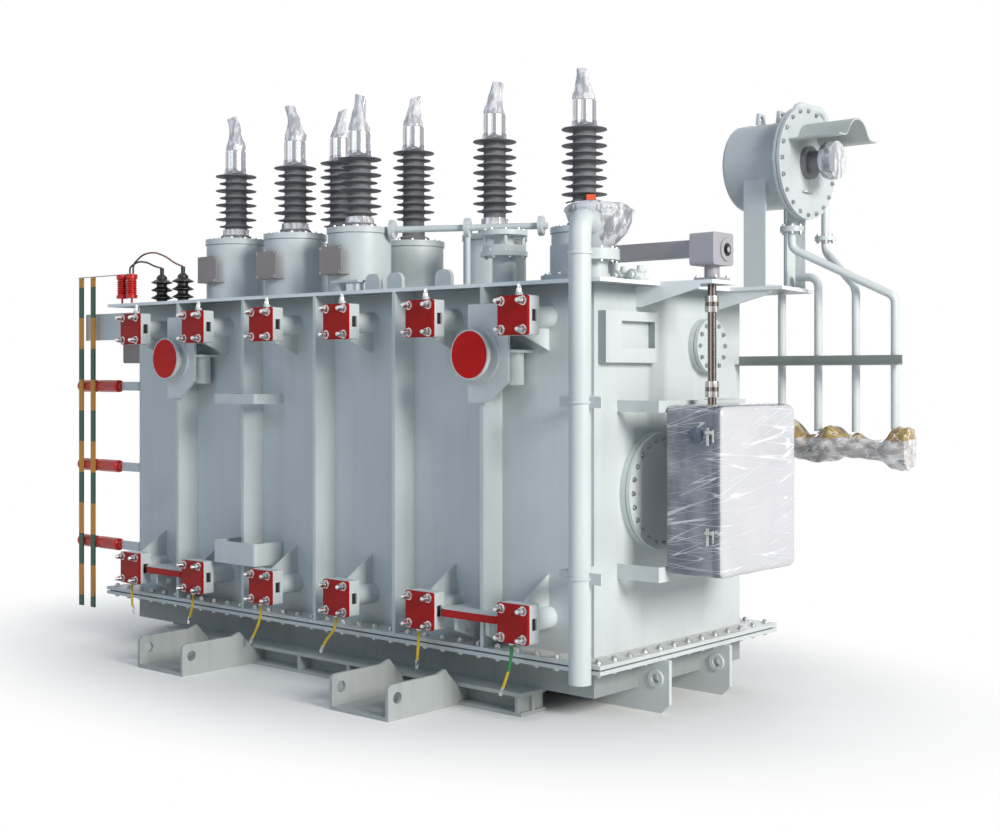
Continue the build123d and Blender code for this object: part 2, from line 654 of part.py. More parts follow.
def pipe_support():
    """The angle bar with saddles that carries the drop pipes off the back corner."""
    z = TRUNNION_Z - 52
    y = Y_WALL
    xs = drop_spots()
    tip = xs[3] + 58
    support = block(X_END, tip, y - 8, y, z, z + 54)
    support += block(X_END, tip, y - 54, y - 8, z, z + 8)
    for x in xs:
        support += block(x - 34, x + 34, y, y + 32, z + 12, z + 42) - upright(x, y + 32, z, z + 60, 45)
    return support


def pipe_valves():
    """The wrapped valves at the feet of the drop pipes, joined by a wrapped header."""
    y = Y_WALL + 32
    z = drop_foot()
    xs = drop_spots()
    header = along_x(xs[0] - 90, xs[3] + 105, y, z - 80, 120)
    bundle = fillet(header.edges(), 40)
    for x, tall in zip(xs, (150, 170, 160, 180)):
        start = Plane.XY.offset(z) * Pos(x, y) * Ellipse(52, 46)
        waist = Plane.XY.offset(z - 0.45 * tall) * Pos(x + 8, y) * Ellipse(92, 78)
        foot = Plane.XY.offset(z - tall) * Pos(x, y) * Ellipse(58, 50)
        bundle += loft([start, waist, foot])
    return bundle


def drop_foot():
    """The level where the drop pipes end on their valves."""
    return TRUNNION_Z - 415


def rating_frame():
    """A bare plate frame on the end wall, with a sunk window."""
    z = COVER_BOTTOM - 397
    frame = block(X_END, X_END + 50, -Y_WALL + 32, -Y_WALL + 497, z, z + 263)
    return frame - block(X_END + 8, X_END + 60, -Y_WALL + 168, -Y_WALL + 460, z + 76, z + 214)


def wall_cover(y, z, diameter):
    """A round bolted cover on a flange ring of the end wall."""
    ring = along_x(X_END, X_END + 34, y, z, diameter)
    lid = along_x(X_END + 34, X_END + 40, y, z, diameter - 12) + along_x(X_END + 40, X_END + 62, y, z, diameter)
    return ring + lid


def bar_spots():
    """The places of the two earthing bars along X."""
    far = -(X_END + BAR_OUT + BAR_SPACING)
    return far, far + BAR_SPACING


def bar_strap(length, z, tall):
    """A flat strap along the front of the left end, with a foot on the end wall."""
    y = -Y_WALL
    strap = block(-X_END - length, -X_END, y - 12, y, z - tall / 2, z + tall / 2)
    return strap + block(-X_END - 12, -X_END, y, y + 60, z - tall / 2, z + tall / 2)


def bar_insulator(z):
    """Two round insulators in line that hold the two earthing bars off the end wall."""
    far = -(X_END + BAR_OUT + BAR_SPACING + 50)
    near = -(X_END + 186)
    y = -Y_WALL - 6
    joint = bar_spots()[1] + BAR_WIDTH / 2
    rod = along_x(far, near, y, z, 50)
    for start, end in ((far, joint - 12), (joint + 12, near - 26)):
        spool = along_x(start, end, y, z, 84)
        rod += fillet(spool.edges(), 16)
    for x in bar_spots():
        rod += along_y(x + BAR_WIDTH / 2, y, y - 44, z, 40)
    return rod


def earthing_bar(x):
    """An upright earthing bar."""
    y = -Y_WALL - 50
    low = BEAM_HEIGHT + 20
    return block(x, x + BAR_WIDTH, y - 10, y, low, low + BAR_LENGTH)


def post_insulator(x):
    """A ribbed post insulator on a pin at the edge of the cover."""
    z = COVER_TOP
    top = post_top()
    points = [(0, z), (7, z), (7, z + 40), (38, z + 40), (38, z + 62), (30, z + 66)]
    level = z + 72
    for i in range(6):
        points += [(30, level), (37, level + 5), (30, level + 10)]
        level += (top - z - 110) / 6
    points += [(30, top - 34), (38, top - 28), (38, top), (0, top)]
    return lathe(x, post_line(), points)


def post_line():
    """The line of the post insulators and of the link on top of them."""
    return -Y_WALL - 55


def post_top():
    """The level of the tops of the post insulators and of the earthing bars."""
    return BEAM_HEIGHT + 20 + BAR_LENGTH


def post_spots():
    """The places of the two post insulators along X."""
    return -X_END - 120, -X_END - 10


def bar_link():
    """The flat link that joins the tops of the bars and of the post insulators."""
    y = post_line()
    z = post_top()
    return block(bar_spots()[0], post_spots()[1] + 25, y - 10, y + 10, z, z + 6)


def earthing_bushing_spots():
    """The places of the two small bushings on the cover."""
    return (-X_END + 103, -Y_WALL + 108), (-X_END + 336, -Y_WALL + 108)


def bushing_leads():
    """The two leads from the link over to the tops of the small bushings."""
    z = post_top() + 6
    y = post_line()
    x = post_spots()[1]
    near, far = earthing_bushing_spots()
    top = COVER_TOP + 30 + 3 * 52 + 60
    first = [(x - 22, y, z), (x - 22, y, z + 45), (x + 20, y + 40, z + 84), (x + 66, y + 80, z + 76)]
    first += [(near[0] - 30, near[1] - 40, top + 12), (near[0], near[1], top)]
    second = [(x + 16, y, z), (x + 16, y, z + 62), (x + 78, y + 34, z + 128), (x + 150, y + 76, z + 142)]
    second += [(x + 228, y + 116, z + 108), (far[0] - 56, far[1] - 32, top + 26), (far[0], far[1], top)]
    tops = [small_bushing(at[0], at[1], COVER_TOP, 3, 142, 52) for at in (near, far)]
    return [lead(first, 12)[0] - tops[0], lead(second, 12)[0] - tops[1]]


def lead(points, diameter):
    """A flexible lead along straight runs joined by arcs as large as the runs allow."""
    spots = [Vector(*p) for p in points]
    radii = []
    for i in range(1, len(spots) - 1):
        before = spots[i] - spots[i - 1]
        after = spots[i + 1] - spots[i]
        turn = radians(before.get_angle(after))
        radii.append(0.45 * min(before.length, after.length) / tan(turn / 2))
    line = FilletPolyline(*points, radius=radii)
    section = Plane(line @ 0, z_dir=line % 0) * Circle(diameter / 2)
    return sweep(section, path=line), line.length, radii


def earth_lead(i):
    """The route of an earth lead that hangs from a lower valve by one end."""
    x = VALVE_X[i] - 0.25 * VALVE_FLANGE
    y = -(Y_WALL + VALVE_REACH - VALVE_PLATE - VALVE_BODY / 2)
    z = LOW_Z - VALVE_FLANGE / 2
    drop = (175, 175, 230, 205, 193, 255)[i]
    drift = (20, -36, -83, -109, -10, -60)[i]
    shares = ((0.20, 0, 0), (0.47, 0.12, -4), (0.75, 0.70 if i == 3 else 0.5, -7), (1, 1, -6))
    return [(x, y, z)] + [(x + drift * b, y + c, z - drop * a) for a, b, c in shares]


def main():
    os.makedirs("parts", exist_ok=True)
    rim_x = X_END + FLANGE_OVERHANG
    rim_y = Y_WALL + FLANGE_OVERHANG

    # Base
    save("base_beams", base_beam(-1), base_beam(1))
    half = BEAM_OUTSIDE - BEAM_FLANGE
    save("centre_cross_beam", block(-100, 100, -half, half, 0, BEAM_HEIGHT))
    save("haulage_channels", *[haulage_channel(BASE_SHIFT + sx * CHANNEL_CENTRE, sy) for sx, sy in CORNERS])
    save("tow_lugs", *[tow_lug(sx, sy) for sx, sy in CORNERS])

    # Tank
    save("lower_tank", block(-X_END, X_END, -Y_WALL, Y_WALL, BEAM_HEIGHT, LOWER_TOP))
    lower_rim = block(-rim_x, rim_x, -rim_y, rim_y, LOWER_TOP, GASKET_BOTTOM)
    save("tank_flanges", lower_rim, block(-rim_x, rim_x, -rim_y, rim_y, FLANGE_MID, FLANGE_TOP))
    inset = FLANGE_PLATE
    joint = block(inset - rim_x, rim_x - inset, inset - rim_y, rim_y - inset, GASKET_BOTTOM, FLANGE_MID)
    save("flange_gasket", joint)
    save("bell_tank", block(-X_END, X_END, -Y_WALL, Y_WALL, FLANGE_TOP, COVER_BOTTOM))
    save("tank_cover", block(-EDGE_X, EDGE_X, -EDGE_Y, EDGE_Y, COVER_BOTTOM, COVER_TOP))
    reach = SHELF_LENGTH
    drive = cover_shelf(DRIVE_OFFSET - 105, DRIVE_OFFSET + 125, reach, reach, DRIVE_OFFSET - 98, DRIVE_REACH - 10)
    gusset = DRUM_OFFSET - 200
    save("cover_shelves", drive, cover_shelf(DRUM_OFFSET - 220, EDGE_Y, reach + 10, reach - 85, gusset, DRIVE_REACH))

    # Walls
    save("stiffeners", *[stiffener(x, side) for side in SIDES for x in STIFFENER_X])
    stubs = [radiator_stub(x, side, HIGH_Z, -1) for side in SIDES for x in VALVE_X]
    stubs += [radiator_stub(x, side, LOW_Z, 1) for side in SIDES for x in VALVE_X]
    save("radiator_stubs", *stubs)
    valves = [radiator_valve(x, side, HIGH_Z, True) for side in SIDES for x in VALVE_X]
    valves += [radiator_valve(x, side, LOW_Z, False) for side in SIDES for x in VALVE_X]
    save("radiator_valves", *valves)
    plates = [blanking_plate(x, side, z) for side in SIDES for z in (LOW_Z, HIGH_Z) for x in VALVE_X]
    save("blanking_plates", *plates)
    save("trunnions", *[trunnion(x, side) for side in SIDES for x in TRUNNION_X])
    save("trunnion_plates", *[trunnion_plate(x, side) for side in SIDES for x in TRUNNION_X])
    save("pocket_tubes", *[pocket_tube(x, side) for side in SIDES for x in TRUNNION_X])
    save("jacking_pads", *[jacking_pad(x, side) for side in SIDES for x in TRUNNION_X])
    holders = [front_holder(TRUNNION_Z - 279, TRUNNION_Z - 219), front_holder(FLANGE_TOP + 275, FLANGE_TOP + 410)]
    holders += [cabinet_bracket(CABINET_TOP - 40, CABINET_TOP + 20)]
    holders += [cabinet_bracket(CABINET_BOTTOM - 40, CABINET_BOTTOM + 36)]
    save("cabinet_holders", *holders)

    # Bushings
    front = [turret(x, y, FRONT_TOP) for x, y in FRONT_ROW]
    save("turrets", *front, *[turret(x, y, REAR_TOP) for x, y in REAR_ROW])
    front = [insulator(x, y, FRONT_TOP, FRONT_COLLAR, FRONT_SHEDS) for x, y in FRONT_ROW]
    save("insulators", *front, *[insulator(x, y, REAR_TOP, REAR_COLLAR, REAR_SHEDS) for x, y in REAR_ROW])
    front = [bushing_cap(x, y, FRONT_CAP) for x, y in FRONT_ROW]
    save("bushing_caps", *front, *[bushing_cap(x, y, REAR_CAP) for x, y in REAR_ROW])
    front = [terminal(x, y, FRONT_CAP + CAP_HEIGHT, 232, lean) for (x, y), lean in zip(FRONT_ROW, (-44, -50, 12))]
    leans = (24, 20, 30, -16)
    rear = [terminal(x, y, REAR_CAP + CAP_HEIGHT, 196, lean) for (x, y), lean in zip(REAR_ROW, leans)]
    save("terminal_wraps", *front, *rear)
    save("phase_plates", *[phase_plate(x, y) for x, y in FRONT_ROW])

    # Cover
    save("gas_pipe", gas_pipe())
    save("oil_valve", oil_valve())
    save("cover_fittings", *cover_fittings())
    small = [small_bushing(x, y, COVER_TOP, 3, 142, 52) for x, y in earthing_bushing_spots()]
    save("earthing_bushings", *small)
    save("post_insulators", *[post_insulator(x) for x in post_spots()])
    save("bushing_leads", *bushing_leads())

    # Pressure relief
    save("relief_neck", relief_neck())
    save("relief_valve", relief_valve())
    save("discharge_pipe", discharge_pipe())
    save("discharge_pipe_clamps", pipe_clamp(TRUNNION_Z - 238), pipe_clamp(FLANGE_TOP + 434))

    # Tap changer
    head_x = X_END - 430
    head = upright(head_x, DRIVE_OFFSET, COVER_TOP, COVER_TOP + 60, 460)
    save("tap_changer_head", head + upright(head_x, DRIVE_OFFSET, COVER_TOP + 60, DRIVE_Z + 60, 360))
    gear_face = SHAFT_X - GEARBOX_WIDTH / 2
    cover = block(head_x + 170, gear_face, DRIVE_OFFSET - 45, DRIVE_OFFSET + 45, DRIVE_Z - 40, DRIVE_Z + 45)
    save("drive_shaft_cover", cover - upright(head_x, DRIVE_OFFSET, COVER_TOP + 60, DRIVE_Z + 60, 360))
    save("bevel_gearbox", bevel_gearbox())
    save("drive_shaft", drive_shaft())
    save("motor_cabinet", motor_cabinet())

    # Conservator
    save("conservator_drum", conservator_drum())
    save("conservator_flanges", conservator_flanges())
    save("oil_gauge", oil_gauge())
    save("gauge_hood", gauge_hood())
    save("conservator_legs", conservator_leg(-1), conservator_leg(1))
    save("drop_pipes", *drop_pipes())
    save("pipe_support", pipe_support())
    save("pipe_valves", pipe_valves())

    # End walls
    save("rating_frame", rating_frame())
    hand = wall_cover(306, COVER_BOTTOM - 299, 300)
    save("wall_covers", hand, wall_cover(-166, FLANGE_TOP + 815, 616))
    save("earthing_bars", *[earthing_bar(x) for x in bar_spots()])
    save("bar_link", bar_link())
    levels = (TRUNNION_Z - 179, TRUNNION_Z - 729, FLANGE_TOP + 265)
    save("bar_insulators", *[bar_insulator(z) for z in levels])
    straps = [bar_strap(186, z, 60) for z in levels]
    save("bar_straps", *straps, bar_strap(619, COVER_BOTTOM - 125, 183))
    low = COVER_BOTTOM - 376
    box = block(-X_END - 291, -X_END, -Y_WALL + 70, -Y_WALL + 310, low, low + 298)
    save("junction_box", fillet(box.edges().filter_by(Axis.X), 14))

    # Leads
    for i in range(6):
        solid, length, radii = lead(earth_lead(i), 16)
        print(f"earth lead {i + 1}: {length:.0f} long, radii", [round(r) for r in radii])
        save(f"earth_lead_{i + 1}", solid)


main()
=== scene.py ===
"""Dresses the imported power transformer: paints, fasteners, film wraps, earth leads and a plain stage."""
import math

import bmesh
import bpy
from mathutils import Euler, Matrix, Vector, noise


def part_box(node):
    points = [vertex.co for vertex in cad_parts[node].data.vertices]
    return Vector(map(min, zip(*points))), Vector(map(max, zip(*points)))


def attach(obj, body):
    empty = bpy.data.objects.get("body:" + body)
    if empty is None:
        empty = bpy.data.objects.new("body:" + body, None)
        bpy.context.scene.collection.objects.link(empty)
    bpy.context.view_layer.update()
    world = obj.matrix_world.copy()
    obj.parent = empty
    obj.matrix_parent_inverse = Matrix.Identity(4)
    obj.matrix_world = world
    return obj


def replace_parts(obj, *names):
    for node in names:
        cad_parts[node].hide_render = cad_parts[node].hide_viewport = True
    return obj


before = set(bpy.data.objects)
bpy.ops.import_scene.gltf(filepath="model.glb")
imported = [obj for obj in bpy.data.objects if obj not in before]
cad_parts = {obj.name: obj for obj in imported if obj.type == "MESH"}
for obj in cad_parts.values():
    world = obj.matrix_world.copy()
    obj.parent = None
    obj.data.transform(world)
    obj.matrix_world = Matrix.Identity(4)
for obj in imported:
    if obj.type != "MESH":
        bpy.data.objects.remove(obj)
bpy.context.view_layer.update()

bl_info = {
    "name": "Power transformer dressing",
    "version": (1, 0, 0),
    "blender": (4, 5, 0),
    "location": "View3D > Sidebar > Transformer",
    "description": "Finishes, fasteners, film and leads of an oil-filled power transformer",
    "category": "Object",
}

# Lines of the tank, read from the frame, in metres
TANK_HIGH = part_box("bell_tank")[1]
FLANGE_LOW, FLANGE_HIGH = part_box("tank_flanges")
COVER_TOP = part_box("tank_cover")[1][2]
PAD_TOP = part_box("jacking_pads")[1][2]
PAD_DEEP = 0.0405

# Radiator valves: plates, rows and levels
PLATE_LOW, PLATE_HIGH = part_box("blanking_plates")
PLATE_SIDE = 0.2
VALVE_Y = PLATE_HIGH[1] - 0.016 - 0.0375
VALVE_X = [PLATE_LOW[0] + PLATE_SIDE / 2 + 0.653 * i for i in range(6)]
VALVE_Z = (PLATE_LOW[2] + PLATE_SIDE / 2, PLATE_HIGH[2] - PLATE_SIDE / 2)
LEAD_OFFSET = 0.05

# Bushings: the places of both rows and the tops of their turrets
FRONT_ROW = [(-1.385 + 0.6 * i, -0.3) for i in range(3)]
REAR_ROW = [(-1.010 + 0.705 * i, 0.3) for i in range(4)]
FRONT_TOP, REAR_TOP = 2.655, 2.620

# Lifting trunnions and their red faces
TRUNNION_LOW, TRUNNION_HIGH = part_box("trunnions")
TRUNNION_X, TRUNNION_Z = 1.306, (TRUNNION_LOW[2] + TRUNNION_HIGH[2]) / 2
KEEPER_FACE = 0.1235

# Tap changer drive: its upright shaft, the head on the cover and the end of the gearbox
SHAFT_X, DRIVE_Y, HEAD_X = 2.330, -0.225, 1.500
GEAR_END = (0.0, -0.205, 2.385)
DRUM_Y = 0.560

# Kinds of shader node that the finishes use most
MATH, RANGE, MIX = "ShaderNodeMath", "ShaderNodeMapRange", "ShaderNodeMix"
NOISE, MAPPING, BUMP = "ShaderNodeTexNoise", "ShaderNodeMapping", "ShaderNodeBump"
PARTS, JOINED, VECTORS = "ShaderNodeSeparateXYZ", "ShaderNodeCombineXYZ", "ShaderNodeVectorMath"


def linear(hex_colour):
    """An sRGB hex value as a linear colour."""
    parts = [int(hex_colour[i:i + 2], 16) / 255 for i in (1, 3, 5)]
    return [p / 12.92 if p <= 0.04045 else ((p + 0.055) / 1.055) ** 2.4 for p in parts]


def rgba(hex_colour):
    """An sRGB hex value as a linear colour with full alpha."""
    return (*linear(hex_colour), 1.0)


def feed(node, links):
    """Links or sets a node's inputs. A node given for an input stands for its first live output."""
    for socket, value in links.items():
        if isinstance(value, bpy.types.Node):
            value = next(out for out in value.outputs if out.enabled)
        if isinstance(value, bpy.types.NodeSocket):
            node.id_data.links.new(value, node.inputs[socket])
        else:
            node.inputs[socket].default_value = value
    return node


def add(tree, kind, links=None, **settings):
    """Adds a node with its settings and links."""
    node = tree.nodes.new(kind)
    for key, value in settings.items():
        setattr(node, key, value)
    return feed(node, links or {})


def blank(name, roughness, metallic=0.0, ior=1.5):
    """A new material with its tree, its shader and object coordinates."""
    material = bpy.data.materials.new(name)
    material.use_nodes = True
    tree = material.node_tree
    shader = feed(tree.nodes["Principled BSDF"], {"Roughness": roughness, "Metallic": metallic, "IOR": ior})
    return material, tree, shader, add(tree, "ShaderNodeTexCoord").outputs["Object"]


def mottle(tree, place, size_mm, low, high, start=0.0, end=1.0):
    """Blotches about size_mm across, spread between two levels."""
    blotches = add(tree, NOISE, {"Vector": place, "Scale": 1000 / size_mm, "Detail": 3})
    return add(tree, RANGE, {0: blotches, 1: low, 2: high, 3: start, 4: end})


def enamel(name, colour, shade, roughness=0.38, streaks=0.5):
    """Sprayed enamel on welded steel: faint orange peel, pale rain streaks and a little grime in patches."""
    material, tree, shader, place = blank(name, roughness)
    patches = mottle(tree, place, 420, 0.42, 0.72, 0.0, 0.35)
    tall = add(tree, MAPPING, {"Vector": place, "Scale": (1, 1, 0.06)})
    runs = mottle(tree, tall, 60, 0.50, 0.80, 0.0, 0.4 * streaks)
    grime = add(tree, MATH, {0: patches, 1: runs}, operation="ADD")
    peel = add(tree, NOISE, {"Vector": place, "Scale": 1000 / 14, "Detail": 3})
    feed(shader, {
        "Base Color": add(tree, MIX, {0: grime, 6: rgba(colour), 7: rgba(shade)}, data_type="RGBA"),
        "Roughness": mottle(tree, place, 160, 0.3, 0.7, roughness - 0.05, roughness + 0.10),
        "Normal": add(tree, BUMP, {"Height": peel, "Strength": 0.12, "Distance": 0.6 / 1000})})
    return material


def masked(material, mask_colour, build_mask):
    """Paints a second colour where a mask built from object coordinates is one."""
    tree = material.node_tree
    shader = tree.nodes["Principled BSDF"]
    place = next(n for n in tree.nodes if n.type == "TEX_COORD").outputs["Object"]
    under = shader.inputs["Base Color"].links[0].from_socket
    links = {0: build_mask(tree, place), 6: under, 7: rgba(mask_colour)}
    feed(shader, {"Base Color": add(tree, MIX, links, data_type="RGBA")})
    return material


def facing(tree, axis):
    """How far a face looks along an axis."""
    return add(tree, PARTS, {0: add(tree, "ShaderNodeNewGeometry").outputs["Normal"]}).outputs[axis]


def keeper_face(tree, place):
    """One on the end face of each keeper disc, inside its pale rim."""
    x, y, z = add(tree, PARTS, {0: place}).outputs
    flat = add(tree, JOINED, {"X": add(tree, MATH, {0: x}, operation="ABSOLUTE"), "Z": z})
    far = add(tree, VECTORS, {0: flat, 1: (TRUNNION_X, 0, TRUNNION_Z)}, operation="DISTANCE")
    inside = add(tree, MATH, {0: far, 1: KEEPER_FACE}, operation="LESS_THAN")
    deep = add(tree, MATH, {0: y}, operation="ABSOLUTE")
    ahead = add(tree, MATH, {0: deep, 1: TRUNNION_HIGH[1] - 0.002}, operation="GREATER_THAN")
    return add(tree, MATH, {0: inside, 1: ahead}, operation="MULTIPLY")


def upright(tree, place):
    """One on edges and sides that stand upright."""
    level = add(tree, MATH, {0: facing(tree, 2)}, operation="ABSOLUTE")
    return add(tree, MATH, {0: level, 1: 0.5}, operation="LESS_THAN")


def painted_underside_shade(tree, place):
    """Painted shade on faces that look down."""
    down = add(tree, MATH, {0: facing(tree, 2), 1: -0.5}, operation="LESS_THAN")
    return add(tree, MATH, {0: down, 1: 0.8}, operation="MULTIPLY")


def painted_shade_under_cover(tree, place):
    """Painted shade in the strip of wall under the cover."""
    z = add(tree, PARTS, {0: place}).outputs["Z"]
    return add(tree, RANGE, {0: z, 1: TANK_HIGH[2] - 0.13, 2: TANK_HIGH[2] - 0.02, 4: 0.55})


def painted_frame_shade(tree, place):
    """One on the sides of the plate frame and of its window, which are painted darker as painted shade."""
    return add(tree, MATH, {0: facing(tree, 0), 1: 0.5}, operation="LESS_THAN")


def pad_edge(tree, place):
    """One on the upright edge of each jacking pad."""
    z = add(tree, PARTS, {0: place}).outputs["Z"]
    high = add(tree, MATH, {0: z, 1: PAD_TOP - PAD_DEEP}, operation="GREATER_THAN")
    return add(tree, MATH, {0: upright(tree, place), 1: high}, operation="MULTIPLY")


def gauge_face(tree, place):
    """One on the wrapped face of the oil gauge."""
    x = add(tree, PARTS, {0: place}).outputs["X"]
    return add(tree, MATH, {0: x, 1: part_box("oil_gauge")[1][0] - 0.0705}, operation="GREATER_THAN")


def gear_ring(tree, place):
    """One on the dark ring round the end of the gearbox shaft."""
    x, y, z = add(tree, PARTS, {0: place}).outputs
    far = add(tree, VECTORS, {0: add(tree, JOINED, {"Y": y, "Z": z}), 1: GEAR_END}, operation="DISTANCE")
    inside = add(tree, MATH, {0: far, 1: 0.034}, operation="LESS_THAN")
    outside = add(tree, MATH, {0: far, 1: 0.014}, operation="GREATER_THAN")
    ring = add(tree, MATH, {0: inside, 1: outside}, operation="MULTIPLY")
    ahead = add(tree, MATH, {0: x, 1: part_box("bevel_gearbox")[1][0] - 0.017}, operation="GREATER_THAN")
    return add(tree, MATH, {0: ring, 1: ahead}, operation="MULTIPLY")


def dusty_top(tree, place):
    """Dust in patches on faces that look up."""
    dust = mottle(tree, place, 90, 0.35, 0.7, 0.15, 0.75)
    up = add(tree, MATH, {0: facing(tree, 2), 1: 0.6}, operation="GREATER_THAN")
    return add(tree, MATH, {0: up, 1: dust}, operation="MULTIPLY")


def shed_rubber():
    """Moulded silicone rubber: matt dark grey, paler where a shed looks up, from dust in patches and painted light from
    above.
    """
    material, tree, shader, place = blank("silicone_rubber_sheds", 0.62)
    patches = mottle(tree, place, 40, 0.3, 0.7, 0.4, 1.0)
    # Dust in patches and painted light: paler on faces that look up
    up = add(tree, RANGE, {0: facing(tree, 2), 1: 0.1, 2: 0.9})
    dust = add(tree, MATH, {0: up, 1: patches}, operation="MULTIPLY")
    fine = add(tree, NOISE, {"Vector": place, "Scale": 1000 / 5, "Detail": 3})
    feed(shader, {
        "Base Color": add(tree, MIX, {0: dust, 6: rgba("#727277"), 7: rgba("#9C9DA0")}, data_type="RGBA"),
        "Normal": add(tree, BUMP, {"Height": fine, "Strength": 0.1, "Distance": 0.3 / 1000})})
    return material


def crease(tree, wave, middle, width, strength):
    """A thin line where a wave passes its middle, as the edge of a fold in film gives; it marks where a painted
    highlight goes.
    """
    away = add(tree, MATH, {0: wave, 1: middle}, operation="SUBTRACT")
    away = add(tree, MATH, {0: away}, operation="ABSOLUTE")
    return add(tree, RANGE, {0: away, 1: 0.0, 2: width, 3: strength, 4: 0.0})


def film(name, colour, shade, pleat_mm, depth_mm):
    """Clear stretch film gathered in upright pleats: grey along the pleats as painted shade, and white lines where a
    fold would catch the light as painted highlight.
    """
    material, tree, shader, place = blank(name, 0.2, ior=1.51)
    tall = add(tree, MAPPING, {"Vector": place, "Scale": (1, 1, 0.22)})
    pleats = add(tree, NOISE, {"Vector": tall, "Scale": 1000 / pleat_mm, "Detail": 2})
    share = add(tree, RANGE, {0: pleats, 1: 0.40, 2: 0.60})
    tone = add(tree, MIX, {0: share, 6: rgba(colour), 7: rgba(shade)}, data_type="RGBA")
    # Painted highlight along the folds
    painted_glint = crease(tree, pleats, 0.46, 0.022, 0.9)
    feed(shader, {
        "Base Color": add(tree, MIX, {0: painted_glint, 6: tone, 7: rgba("#FAFAFC")}, data_type="RGBA"),
        "Normal": add(tree, BUMP, {"Height": pleats, "Strength": 0.6, "Distance": depth_mm / 1000}),
        "Coat Weight": 0.6, "Coat Roughness": 0.08})
    return material


def cabinet_film():
    """Film pulled round a cabinet: its sides painted darker than its door as painted shade, thin painted highlights
    along the creases, and painted shade in a dark band on the sides next to the door.
    """
    material, tree, shader, place = blank("stretch_film_on_cabinet", 0.24)
    x, y, z = add(tree, PARTS, {0: place}).outputs
    flat = add(tree, JOINED, {"X": add(tree, MATH, {0: x, 1: y}, operation="ADD"), "Z": z})
    folds = None
    for turn, long_mm, thin_mm in ((0.16, 1500, 52), (-0.08, 1300, 44), (0.34, 1500, 60)):
        turned = add(tree, MAPPING, {"Vector": flat, "Rotation": (0, turn, 0)})
        drawn = add(tree, MAPPING, {"Vector": turned, "Scale": (1000 / long_mm, 1.0, 1000 / thin_mm)})
        wave = add(tree, NOISE, {"Vector": drawn, "Scale": 1.0, "Detail": 0.6})
        line = crease(tree, wave, 0.5, 0.011, 1.0)
        folds = add(tree, MATH, {0: folds, 1: line}, operation="MAXIMUM") if folds else line
    breaks = mottle(tree, place, 190, 0.30, 0.52)
    folds = add(tree, MATH, {0: folds, 1: breaks}, operation="MULTIPLY")
    # Painted shade: faces that do not look along +X, the door's way, get the darker film colour
    ahead = facing(tree, 0)
    door = add(tree, RANGE, {0: ahead, 1: 0.3, 2: 0.7})
    colour = add(tree, MIX, {0: door, 6: rgba("#70757F"), 7: rgba("#C6C6CB")}, data_type="RGBA")
    low = add(tree, MAPPING, {"Vector": place, "Scale": (1, 1, 0.7)})
    clouds = mottle(tree, low, 210, 0.45, 0.7, 0.0, 0.45)
    # Painted shade: a dark band on the sides next to the door
    aside = add(tree, MATH, {0: ahead, 1: 0.55}, operation="LESS_THAN")
    seam = add(tree, RANGE, {0: x, 1: 2.468, 2: 2.480, 4: 0.6})
    beside = add(tree, MATH, {0: aside, 1: seam}, operation="MULTIPLY")
    # Painted highlight along the creases
    bright = add(tree, MATH, {0: folds, 1: 0.7}, operation="MULTIPLY")
    for share, tone in ((clouds, "#D2D1D8"), (beside, "#4A515F"), (bright, "#FBFBFF")):
        colour = add(tree, MIX, {0: share, 6: colour, 7: rgba(tone)}, data_type="RGBA")
    slack = add(tree, NOISE, {"Vector": place, "Scale": 1000 / 60, "Detail": 3})
    height = add(tree, MATH, {0: folds, 1: slack}, operation="ADD")
    feed(shader, {
        "Base Color": colour, "Coat Weight": 0.5, "Coat Roughness": 0.1,
        "Normal": add(tree, BUMP, {"Height": height, "Strength": 0.5, "Distance": 2.5 / 1000})})
    return material


def moulded(name, colour, shade, roughness):
    """Cast resin or moulded rubber with a faint mottle."""
    material, tree, shader, place = blank(name, roughness)
    blotches = mottle(tree, place, 25, 0.35, 0.7)
    fine = add(tree, NOISE, {"Vector": place, "Scale": 1000 / 4, "Detail": 3})
    feed(shader, {
        "Base Color": add(tree, MIX, {0: blotches, 6: rgba(colour), 7: rgba(shade)}, data_type="RGBA"),
        "Normal": add(tree, BUMP, {"Height": fine, "Strength": 0.1, "Distance": 0.2 / 1000})})
    return material


def plated(name, colour, roughness):
    """Zinc-plated or bare bright metal, with a fine turned mottle."""
    material, tree, shader, place = blank(name, roughness, metallic=1.0)
    blotches = mottle(tree, place, 18, 0.3, 0.7, 0.0, 0.6)
    feed(shader, {
        "Base Color": add(tree, MIX, {0: blotches, 6: rgba(colour), 7: rgba("#7F8385")}, data_type="RGBA"),
        "Roughness": mottle(tree, place, 9, 0.3, 0.7, roughness - 0.08, roughness + 0.12)})
    return material


def painted_reflection_metal(name, light, dark, roughness):
    """Turned bright metal with a painted reflection: light and dark streaks that run along it, set by which way a face
    looks round its axis.
    """
    material, tree, shader, place = blank(name, roughness, metallic=1.0)
    normal = add(tree, "ShaderNodeNewGeometry").outputs["Normal"]
    round_it = add(tree, MAPPING, {"Vector": normal, "Scale": (1, 1, 0.15)})
    bands = add(tree, NOISE, {"Vector": round_it, "Scale": 3.4, "Detail": 1.5})
    bands = add(tree, RANGE, {0: bands, 1: 0.38, 2: 0.62})
    feed(shader, {
        "Base Color": add(tree, MIX, {0: bands, 6: rgba(light), 7: rgba(dark)}, data_type="RGBA"),
        "Roughness": mottle(tree, place, 12, 0.3, 0.7, roughness - 0.06, roughness + 0.08)})
    return material


